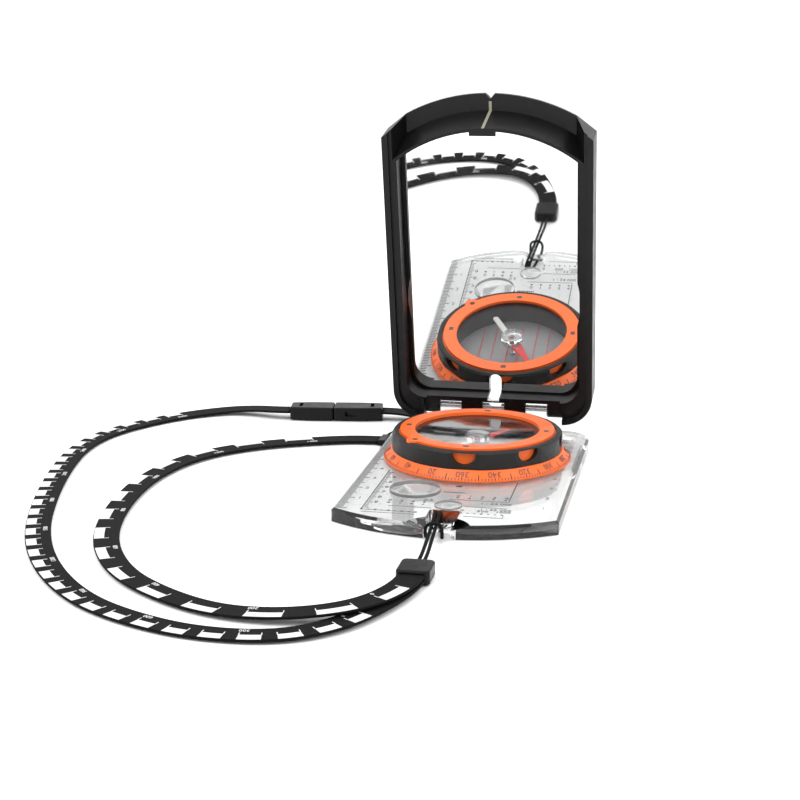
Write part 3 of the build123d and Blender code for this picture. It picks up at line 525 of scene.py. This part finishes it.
def nurbs_curve(name, route):
    """A curve of one open NURBS spline whose control points are the route's, in millimetres."""
    curve = bpy.data.curves.new(name, "CURVE")
    curve.dimensions = "3D"
    curve.resolution_u = 14
    spline = curve.splines.new("NURBS")
    spline.points.add(len(route) - 1)
    for point, spot in zip(spline.points, route):
        point.co = (*(Vector(spot) * MM), 1.0)
    spline.order_u = 3
    spline.use_endpoint_u = True
    return curve


def spline_samples(name, route):
    """Points read from the route's spline, in order."""
    holder = bpy.data.objects.new(name, nurbs_curve(name, route))
    bpy.context.scene.collection.objects.link(holder)
    bpy.context.view_layer.update()
    mesh = bpy.data.meshes.new_from_object(holder)
    points = [vert.co.copy() for vert in mesh.vertices]
    bpy.data.meshes.remove(mesh)
    bpy.data.objects.remove(holder)
    return points


def round_cord(name, route):
    """A round cord along its route, in millimetres."""
    size = bpy.context.scene.compass.lanyard.cord_diameter
    curve = nurbs_curve(name, route)
    curve.bevel_depth = 0.5 * size
    curve.bevel_resolution = 5
    curve.use_fill_caps = True
    curve.materials.append(FINISHES["cord_black"])
    piece = bpy.data.objects.new(name + "_line", curve)
    bpy.context.scene.collection.objects.link(piece)
    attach(piece, "base")
    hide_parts(name)
    return piece


class Path:
    """Points along a ribbon, with the distance run, the sideways and the upward direction at each."""

    def __init__(self, points):
        self.points = points
        self.run = [0.0]
        for a, b in zip(points, points[1:]):
            self.run.append(self.run[-1] + (b - a).length)
        self.sides = []
        self.ups = []
        last = len(points) - 1
        for i in range(last + 1):
            ahead = (points[min(i + 1, last)] - points[max(i - 1, 0)]).normalized()
            side = Vector((0.0, 0.0, 1.0)).cross(ahead).normalized()
            self.sides.append(side)
            self.ups.append(ahead.cross(side).normalized())

    def at(self, distance):
        """Point, side and up at a distance along the path, in metres."""
        distance = min(max(distance, 0.0), self.run[-1])
        i = next((k for k in range(len(self.run) - 1) if self.run[k + 1] >= distance), len(self.run) - 2)
        share = (distance - self.run[i]) / max(self.run[i + 1] - self.run[i], 1e-9)
        return (self.points[i].lerp(self.points[i + 1], share),
                self.sides[i].lerp(self.sides[i + 1], share).normalized(),
                self.ups[i].lerp(self.ups[i + 1], share).normalized())


def band_mesh(name, path, start, end, outline, finish, step=0.0018):
    """A band along the path from start to end (metres); outline is its section, (across, up) in metres."""
    count = max(1, math.ceil((end - start) / step))
    verts = []
    for i in range(count + 1):
        spot, side, up = path.at(start + (end - start) * i / count)
        verts += [spot + side * across + up * rise for across, rise in outline]
    sides = len(outline)
    faces = [tuple(range(sides)), tuple(range(count * sides, (count + 1) * sides))]
    for i in range(count):
        for k in range(sides):
            a, b = i * sides + k, i * sides + (k + 1) % sides
            faces.append((a, b, b + sides, a + sides))
    mesh = mesh_from(name, verts, faces, finish)
    layer = mesh.uv_layers.new(name="UVMap")
    for face in mesh.polygons:
        for loop in face.loop_indices:
            ring, corner = divmod(mesh.loops[loop].vertex_index, sides)
            layer.data[loop].uv = (start + (end - start) * ring / count, outline[corner][0])
    return mesh


def flat_section(low, high, bottom, top):
    """A rectangle as a section, in metres."""
    return [(low, bottom), (high, bottom), (high, top), (low, top)]


def ribbon_section(width, thickness):
    """A woven ribbon's section: slightly crowned, with rolled selvedges."""
    half, rise = 0.5 * width, 0.5 * thickness
    upper = [(half, 0.0), (half - 0.12 * rise, 0.55 * rise), (half - 0.5 * rise, 0.95 * rise),
             (half - 1.1 * rise, 0.92 * rise), (0.0, 0.98 * rise)]
    left = [(-across, up) for across, up in reversed(upper[:-1])]
    lower = [(across, -up) for across, up in reversed((upper + left)[1:-1])]
    return upper + left + lower


def flat_cord(name, route):
    """A woven ribbon along its route, in millimetres. Returns its path."""
    sizes = bpy.context.scene.compass.lanyard
    points = spline_samples(name, route)
    path = Path(points)
    outline = ribbon_section(sizes.ribbon_width, sizes.ribbon_thickness)
    mesh = band_mesh(name, path, 0.0, path.run[-1], outline, FINISHES["ribbon_black"])
    mesh.polygons.foreach_set("use_smooth", [len(face.vertices) == 4 for face in mesh.polygons])
    piece = link_piece(name + "_weave", mesh)
    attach(piece, "base")
    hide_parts(name)
    return path


LOOP_LEFT = [(-0.35, -96.7, 2.2), (-0.35, -90.7, 2.2), (-0.6, -81.85, 3.475), (-1.05, -72.0, 4.35),
             (-1.825, -64.45, 4.5), (-2.6, -57.1, 4.35), (-2.6, -57.1, 0.7), (-2.5, -65.05, 0.7),
             (-2.7, -73.0, 0.7), (-2.7, -73.0, 5.5), (0.0, -73.0, 5.5)]
LOOP_RIGHT = [(1.15, -96.7, 2.2), (1.15, -90.7, 2.2), (0.725, -81.85, 3.475), (0.1, -72.0, 4.35),
              (-0.55, -64.45, 4.5), (-1.2, -57.1, 4.35), (-1.2, -57.1, 0.7), (0.55, -65.05, 0.7),
              (2.0, -73.0, 0.7), (2.0, -73.0, 5.5), (0.0, -73.0, 5.5)]
OUTER_ROUTE = [(0.0, -106.6, 1.2), (0.0, -112.1, 1.2), (-4.6, -126.5, 1.2), (-11.5, -139.5, 1.1),
               (-24.0, -148.4, 0.7), (-44.0, -149.2, 0.5), (-63.0, -142.8, 0.5), (-79.5, -132.5, 0.5),
               (-96.0, -113.5, 0.5), (-109.5, -89.0, 0.5), (-119.5, -60.0, 0.5), (-127.5, -29.0, 0.5),
               (-131.5, -4.0, 0.5), (-129.5, 15.0, 0.5), (-121.0, 31.5, 0.5), (-110.0, 44.8, 0.5),
               (-97.0, 52.6, 1.0), (-87.0, 52.3, 1.9), (-79.05, 49.57, 2.52), (-74.1, 50.3, 2.52)]
INNER_ROUTE = [(0.0, -106.6, 2.5), (0.0, -112.1, 2.5), (-5.2, -125.0, 2.5), (-14.0, -133.6, 2.5),
               (-27.5, -136.7, 1.6), (-43.0, -135.0, 0.8), (-59.0, -127.2, 0.7), (-75.0, -114.2, 0.7),
               (-87.5, -94.0, 0.7), (-94.5, -71.0, 0.7), (-97.8, -44.0, 0.7), (-96.2, -21.5, 0.7),
               (-89.0, -3.0, 0.7), (-74.5, 11.2, 0.7), (-56.0, 20.0, 0.7), (-43.5, 24.2, 0.7),
               (-36.4, 24.2, 0.7)]
REAR_ROUTE = [(-42.2, 55.0, 2.52), (-37.25, 55.73, 2.52), (-28.0, 55.4, 1.4), (-15.0, 54.0, 1.1),
              (-4.0, 53.2, 1.1), (4.0, 53.2, 1.1)]
LINK_ROUTE = [(-35.2, 28.1, 0.75), (-35.2, 32.1, 0.75), (-32.0, 38.0, 0.75), (-24.5, 41.6, 0.75),
              (-14.0, 42.0, 0.75), (-5.0, 41.2, 0.75), (2.6, 42.6, 0.75), (5.2, 46.0, 0.75), (5.2, 49.3, 0.75)]


def scale_print(name, path, pitch, share, first, last, numbers_every, height):
    """The printed scale on a ribbon: white blocks along its left edge, bracket ticks and small numbers."""
    sizes = bpy.context.scene.compass.lanyard
    half = 0.5 * sizes.ribbon_width
    top = 0.5 * sizes.ribbon_thickness
    white = FINISHES["white_ink"]
    parts = []
    edge, middle = half - 0.25 * MM, half - 0.42 * sizes.ribbon_width
    inner = half - 0.60 * sizes.ribbon_width
    count = int((last - first) / pitch)
    for i in range(count):
        start = first + i * pitch
        parts.append(band_mesh("block", path, start, start + share * pitch,
                               flat_section(middle, edge, top - 0.02 * MM, top + 0.03 * MM), white))
        for spot in (start, start + share * pitch):
            parts.append(band_mesh("tick", path, spot - 0.12 * MM, spot + 0.12 * MM,
                                   flat_section(inner, middle, top - 0.02 * MM, top + 0.03 * MM), white))
        if i % numbers_every == 0:
            spot, side, up = path.at(start + 0.5 * pitch)
            ahead = side.cross(up)
            middle_spot = spot - side * (half - 1.5 * MM) + up * (top + 0.02 * MM)
            place = Matrix.Translation(middle_spot) @ Matrix((ahead, side, up)).transposed().to_4x4()
            parts.append(number_mesh(str(i * 100), height, place, white))
    piece = link_piece(name, join_meshes(name, parts, white))
    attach(piece, "base")
    return piece


# ---- pieces ----

class CompassOperator:
    """What the build steps share."""

    bl_options = {"REGISTER", "UNDO"}

    @property
    def settings(self):
        return bpy.context.scene.compass


class COMPASS_OT_stage(CompassOperator, bpy.types.Operator):
    """Sets up the floor, the lights and the camera"""

    bl_idname = "compass.stage"
    bl_label = "Stage"

    def execute(self, context):
        stage = self.settings.stage
        half = 0.5 * stage.floor_size
        level = FLOOR_LEVEL * MM
        corners = [(-half, -half, level), (half, -half, level), (half, half, level), (-half, half, level)]
        white = plain_finish("floor_white", (0.94, 0.94, 0.94), 0.9, specular_ior_level=0.1)
        clouds = noise(white, coordinates(white), 3.0, 2.0)
        add_color_change(white, clouds, (0.935, 0.935, 0.937), (0.945, 0.945, 0.945))
        mesh = bpy.data.meshes.new("floor")
        mesh.from_pydata(corners, [], [(0, 1, 2, 3)])
        mesh.materials.append(white)
        link_piece("floor", mesh)

        world = bpy.data.worlds.new("white_room")
        world.use_nodes = True
        surround = world.node_tree.nodes["Background"]
        surround.inputs["Color"].default_value = (1.0, 1.0, 1.0, 1.0)
        surround.inputs["Strength"].default_value = stage.world_strength
        context.scene.world = world

        target = Vector((-0.01, -0.02, 0.02))
        lights = (("key", (-0.45, -0.55, 0.85), 0.7, stage.key_power),
                  ("fill", (0.6, -0.25, 0.6), 0.6, 0.45 * stage.key_power),
                  ("back", (0.1, 0.7, 0.8), 0.6, 0.6 * stage.key_power))
        for name, spot, size, power in lights:
            lamp = bpy.data.lights.new(name, "AREA")
            lamp.shape = "SQUARE"
            lamp.size = size
            lamp.energy = power
            lamp_object = bpy.data.objects.new(name, lamp)
            context.scene.collection.objects.link(lamp_object)
            away = (Vector(spot) - target).normalized()
            turned = away.to_track_quat("Z", "Y").to_matrix().to_4x4()
            lamp_object.matrix_world = Matrix.Translation(spot) @ turned

        camera = bpy.data.cameras.new("camera")
        camera.sensor_width = 36.0
        camera.lens = 75.37
        camera.clip_start = 0.01
        camera.clip_end = 200.0
        camera_object = bpy.data.objects.new("camera", camera)
        context.scene.collection.objects.link(camera_object)
        turn, rise, roll = (math.radians(angle) for angle in (11.685, 14.182, -0.211))
        back = Vector((math.sin(turn) * math.cos(rise), -math.cos(turn) * math.cos(rise), math.sin(rise)))
        right = (-back).cross(Vector((0.0, 0.0, 1.0))).normalized()
        up = right.cross(-back)
        rolled_right = right * math.cos(roll) + up * math.sin(roll)
        rolled_up = up * math.cos(roll) - right * math.sin(roll)
        turned = Matrix((rolled_right, rolled_up, back)).transposed().to_4x4()
        camera_object.matrix_world = Matrix.Translation((0.07883, -0.50033, 0.15005)) @ turned
        context.scene.camera = camera_object
        context.scene.view_settings.view_transform = "Standard"
        return {"FINISHED"}


class COMPASS_OT_cords(CompassOperator, bpy.types.Operator):
    """Makes the thin black cords: the two loop cords at the slot and the link behind the lid"""

    bl_idname = "compass.cords"
    bl_label = "Cords"

    def execute(self, context):
        round_cord("loop_cord_left", LOOP_LEFT)
        round_cord("loop_cord_right", LOOP_RIGHT)
        round_cord("link_cord", LINK_ROUTE)
        dress("junction_block", "ferrule_rear", "ferrule_front")
        return {"FINISHED"}


class COMPASS_OT_ribbons(CompassOperator, bpy.types.Operator):
    """Makes the three woven ribbons and the scales printed on them"""

    bl_idname = "compass.ribbons"
    bl_label = "Ribbons"

    def execute(self, context):
        sizes = self.settings.lanyard
        outer = flat_cord("ribbon_outer", OUTER_ROUTE)
        inner = flat_cord("ribbon_inner", INNER_ROUTE)
        flat_cord("ribbon_rear", REAR_ROUTE)
        scale_print("outer_scale", outer, sizes.outer_pitch, 0.6, 26.0 * MM, 306.0 * MM, 3, 1.3)
        scale_print("inner_scale", inner, sizes.inner_pitch, 0.54, 9.0 * MM, inner.run[-1] - 14.0 * MM, 2, 1.3)
        return {"FINISHED"}


class COMPASS_OT_clasp(CompassOperator, bpy.types.Operator):
    """Finishes the two halves of the clasp"""

    bl_idname = "compass.clasp"
    bl_label = "Clasp"

    def execute(self, context):
        dress("clasp_socket", "clasp_plug")
        return {"FINISHED"}


class COMPASS_OT_baseplate(CompassOperator, bpy.types.Operator):
    """Finishes the clear baseplate and prints its rulers, lines and small scales"""

    bl_idname = "compass.baseplate"
    bl_label = "Baseplate"

    def execute(self, context):
        dress("baseplate", "magnifier_lens", "dimple_lens", "index_mark", "hinge_pin")
        sizes = self.settings.plate
        black, grey, white = (FINISHES[name] for name in ("black_ink", "grey_ink", "white_ink"))
        line, tick = sizes.line_width / MM, sizes.tick_width / MM
        text = sizes.number_height / MM
        top, ink_top = PLATE_TOP, PLATE_TOP + INK_HEIGHT
        mid = 0.5 * (top + ink_top)
        rows = tick_group("tick_row", ring=False)

        def bar(x0, y0, x1, y1, finish):
            return box_mesh((x0, y0, top), (x1, y1, ink_top), finish)

        dark = [bar(-23.7 - 0.5 * line, -59.8, -23.7 + 0.5 * line, -20.5, black),
                bar(16.5 - 0.5 * line, -45.2, 16.5 + 0.5 * line, -26.5, black),
                bar(-23.3, -61.81, -8.0, -61.61, black), bar(-16.9, -55.15, -4.4, -54.95, black),
                bar(-0.5, -46.15, 16.6, -45.95, black), bar(4.8, -52.15, 16.9, -51.95, black),
                bar(5.8, -60.9, 16.9, -60.7, black), bar(16.7, -60.85, 16.9, -58.9, black),
                bar(-23.8, -59.9, -8.4, -59.7, black)]
        dark += [tick_row(rows, 36, (-22.9, -58.0, mid), (0.0, 1.0, 0.0), (0.9, 0.24, INK_HEIGHT), black,
                          skip_every=5),
                 tick_row(rows, 8, (-22.6, -58.0, mid), (0.0, 5.0, 0.0), (1.5, 0.28, INK_HEIGHT), black)]
        for y, number in ((-52.6, "9"), (-47.6, "8"), (-42.6, "7"), (-37.6, "6"), (-32.6, "5"), (-27.6, "4")):
            dark.append(number_mesh(number, text, on_plate(-20.9, y), black))
        for i in range(9):
            dark.append(dot_mesh(-23.6 + 1.95 * i, -59.6, 0.48 if i % 2 == 0 else 0.3, black))
        for i in range(4):
            dark.append(dot_mesh(-17.3 + 3.35 * i, -52.2, 0.5 if i % 2 == 0 else 0.32, black))
            dark.append(number_mesh(str(2 * i), 1.7, on_plate(-17.3 + 3.35 * i, -50.0), black))
        for i in range(5):
            dark.append(dot_mesh(1.4 + 3.5 * i, -44.2, 0.42, black))
            dark.append(number_mesh(str(i), 1.7, on_plate(1.4 + 3.5 * i, -42.4), black))
        for i in range(9):
            dark.append(dot_mesh(-3.4 + 0.75 * i, -39.4, 0.3 + 0.1 * (i % 2), black))
        for i in range(7):
            dark.append(dot_mesh(4.6 + 1.95 * i, -57.9, 0.42 if i % 3 == 0 else 0.28, black))
        for i in range(3):
            dark.append(number_mesh(str(500 * i), 1.6, on_plate(4.6 + 5.85 * i, -55.6), black))
        dark.append(number_mesh("1 : 24 000", 1.6, on_plate(13.2, -48.2), black))
        dark.append(number_mesh("1 : 25 000", 1.6, on_plate(13.8, -53.8), black))
        dark.append(number_mesh("0.5", 1.7, on_plate(-6.4, -48.0), black))

        pale = [tick_row(rows, 90, (-30.4, -59.5, mid), (0.0, 1.0, 0.0), (2.3, tick, INK_HEIGHT), grey,
                         skip_every=5),
                tick_row(rows, 18, (-30.0, -59.5, mid), (0.0, 5.0, 0.0), (3.1, tick, INK_HEIGHT), grey,
                         skip_every=2),
                tick_row(rows, 9, (-29.7, -59.5, mid), (0.0, 10.0, 0.0), (3.7, tick, INK_HEIGHT), grey)]
        for i in range(1, 9):
            pale.append(number_mesh(str(i), text, on_plate(-26.4, -59.5 + 10.0 * i), grey))

        light = [tick_row(rows, 72, (29.6, -58.8, mid), (0.0, 1.27, 0.0), (1.9, 0.5, INK_HEIGHT), white,
                          skip_every=4),
                 tick_row(rows, 18, (29.2, -58.8, mid), (0.0, 5.08, 0.0), (2.7, 0.55, INK_HEIGHT), white)]
        for i in range(4):
            pale.append(number_mesh(str(i + 1), text, on_plate(26.9, -49.6 + 9.6 * i), grey))

        for name, parts, finish in (("plate_print_black", dark, black), ("plate_print_grey", pale, grey),
                                    ("plate_print_white", light, white)):
            piece = link_piece(name, join_meshes(name, parts, finish))
            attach(piece, "base")
        return {"FINISHED"}


class COMPASS_OT_dial(CompassOperator, bpy.types.Operator):
    """Finishes the turning dial and puts the degrees on its sloping flange"""

    bl_idname = "compass.dial"
    bl_label = "Dial"

    foot_radius, foot_height = 29.3, 4.5

    def on_flange(self, angle, down):
        """The matrix that lays a mark on the cone at an angle, its top outwards; down is the distance from the
        cone's lower edge to the mark's middle along the slope."""
        radius = self.foot_radius - down * math.sqrt(0.5)
        height = self.foot_height + down * math.sqrt(0.5)
        c, s = math.cos(angle), math.sin(angle)
        outward = Vector((c, s, -1.0)).normalized()
        normal = Vector((c, s, 1.0)).normalized()
        spot = (Vector((radius * c, radius * s, height)) + normal * 0.5 * INK_HEIGHT) * MM
        turned = Matrix((outward.cross(normal), outward, normal)).transposed().to_4x4()
        return Matrix.Translation(spot) @ turned

    def execute(self, context):
        dress("dial_flange", "dial_core", "grip_ring", "top_ring", "retaining_ring", "declination_screw")
        sizes = self.settings.dial
        black = FINISHES["dial_ink"]
        rings = tick_group("tick_ring", ring=True)
        slope = math.sqrt(0.5)

        def slope_ticks(count, down, length, width, first_angle, **skips):
            radius = self.foot_radius - down * slope + 0.5 * INK_HEIGHT * slope
            height = self.foot_height + down * slope + 0.5 * INK_HEIGHT * slope
            return tick_ring(rings, count, radius, height, (width, length, INK_HEIGHT), black,
                             first_angle=first_angle, **skips)

        fine = sizes.fine_ticks
        front = -0.5 * math.pi
        marks = [slope_ticks(fine, 0.5, 0.75, 0.3, front, skip_every=10, skip_offset=5),
                 slope_ticks(18, 1.2, 2.1, 0.3, front + math.radians(10.0)),
                 slope_ticks(36, 0.6, 0.95, 0.3, front)]
        for degrees in range(sizes.number_step, 361, sizes.number_step):
            place = self.on_flange(front - math.radians(degrees), 2.28)
            marks.append(number_mesh(str(degrees), sizes.number_height / MM, place, black))
        piece = link_piece("dial_degrees", join_meshes("dial_degrees", marks, black))
        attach(piece, "dial")

        cuts = []
        for i in range(4):
            angle = front + 0.5 * math.pi * i
            radial = Vector((math.cos(angle), math.sin(angle), 0.0))
            sideways = Vector((-radial.y, radial.x, 0.0))
            corners = []
            for z in (RING_MARK_LEVEL, RING_MARK_LEVEL + INK_HEIGHT):
                for r, s in ((20.9, -0.9), (22.4, -0.9), (22.4, 0.9), (20.9, 0.9)):
                    corners.append((radial * r + sideways * s + Vector((0.0, 0.0, z))) * MM)
            faces = [(0, 1, 2, 3), (4, 5, 6, 7), (0, 1, 5, 4), (1, 2, 6, 5), (2, 3, 7, 6), (3, 0, 4, 7)]
            cuts.append(mesh_from("cut", corners, faces, black))
        piece = link_piece("ring_marks", join_meshes("ring_marks", cuts, black))
        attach(piece, "dial")
        return {"FINISHED"}


class COMPASS_OT_capsule(CompassOperator, bpy.types.Operator):
    """Finishes the liquid-filled capsule with its meridian lines and north arrow"""

    bl_idname = "compass.capsule"
    bl_label = "Capsule"

    def execute(self, context):
        dress("capsule_wall", "capsule_floor", "capsule_glass", "pivot_pin", "orienting_disc")
        red, black = FINISHES["red_ink"], FINISHES["black_ink"]
        level, top = CAPSULE_PRINT_LEVEL, CAPSULE_PRINT_LEVEL + INK_HEIGHT
        lines = []
        for x in (-12.0, -7.4, 7.4, 12.0):
            reach = math.sqrt(19.6 ** 2 - x ** 2)
            lines.append(box_mesh((x - 0.14, -reach, level), (x + 0.14, reach, top), red))
        for x in (-2.0, 2.0):
            lines.append(box_mesh((x - 0.2, -15.5, level), (x + 0.2, 13.0, top), red))
        arrow = ((-3.4, 12.6), (0.0, 18.6), (3.4, 12.6))
        head = [Vector((x, y, z)) * MM for z in (level, top) for x, y in arrow]
        faces = [(0, 1, 2), (3, 4, 5), (0, 1, 4, 3), (1, 2, 5, 4), (2, 0, 3, 5)]
        lines.append(mesh_from("head", head, faces, red))
        piece = link_piece("meridian_lines", join_meshes("meridian_lines", lines, red))
        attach(piece, "orienting")

        rings = tick_group("tick_ring_inside", ring=True)
        inside = tick_ring(rings, 72, 18.9, level + 0.5 * INK_HEIGHT, (0.16, 1.0, INK_HEIGHT), black, tilt=0.0)
        piece = link_piece("declination_scale", join_meshes("declination_scale", [inside], black))
        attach(piece, "orienting")
        return {"FINISHED"}


class COMPASS_OT_needle(CompassOperator, bpy.types.Operator):
    """Finishes the magnetic needle and its bearing"""

    bl_idname = "compass.needle"
    bl_label = "Needle"

    def execute(self, context):
        dress("needle_north", "needle_south", "needle_hub", "needle_magnet", "jewel_bearing")
        return {"FINISHED"}


class COMPASS_OT_lid(CompassOperator, bpy.types.Operator):
    """Finishes the lid, its mirror and its sight line"""

    bl_idname = "compass.lid"
    bl_label = "Lid and mirror"

    def execute(self, context):
        dress("lid_shell", "mirror", "mirror_frame", "sight_line")
        return {"FINISHED"}


STEPS = (COMPASS_OT_stage, COMPASS_OT_cords, COMPASS_OT_ribbons, COMPASS_OT_clasp, COMPASS_OT_baseplate,
         COMPASS_OT_dial, COMPASS_OT_capsule, COMPASS_OT_needle, COMPASS_OT_lid)


class COMPASS_PT_build(bpy.types.Panel):
    bl_label = "Sighting compass"
    bl_idname = "COMPASS_PT_build"
    bl_space_type = "VIEW_3D"
    bl_region_type = "UI"
    bl_category = "Compass"

    def draw(self, context):
        for step in STEPS:
            self.layout.operator(step.bl_idname)
        settings = context.scene.compass
        for group in (settings.colors, settings.lanyard, settings.dial, settings.plate, settings.stage):
            box = self.layout.box()
            for key in group.bl_rna.properties.keys():
                if key not in {"rna_type", "name"}:
                    box.prop(group, key)


CLASSES = (CompassColors, CompassLanyard, CompassDial, CompassPlate, CompassStage, CompassSettings, *STEPS,
           COMPASS_PT_build)


def register():
    for cls in CLASSES:
        bpy.utils.register_class(cls)
    bpy.types.Scene.compass = PointerProperty(type=CompassSettings, name="Compass",
                                              description="Compass settings")


def unregister():
    del bpy.types.Scene.compass
    for cls in reversed(CLASSES):
        bpy.utils.unregister_class(cls)


def main():
    register()
    make_finishes(bpy.context.scene.compass)
    for step in STEPS:
        group, name = step.bl_idname.split(".")
        getattr(getattr(bpy.ops, group), name)()


if __name__ == "__main__":
    main()
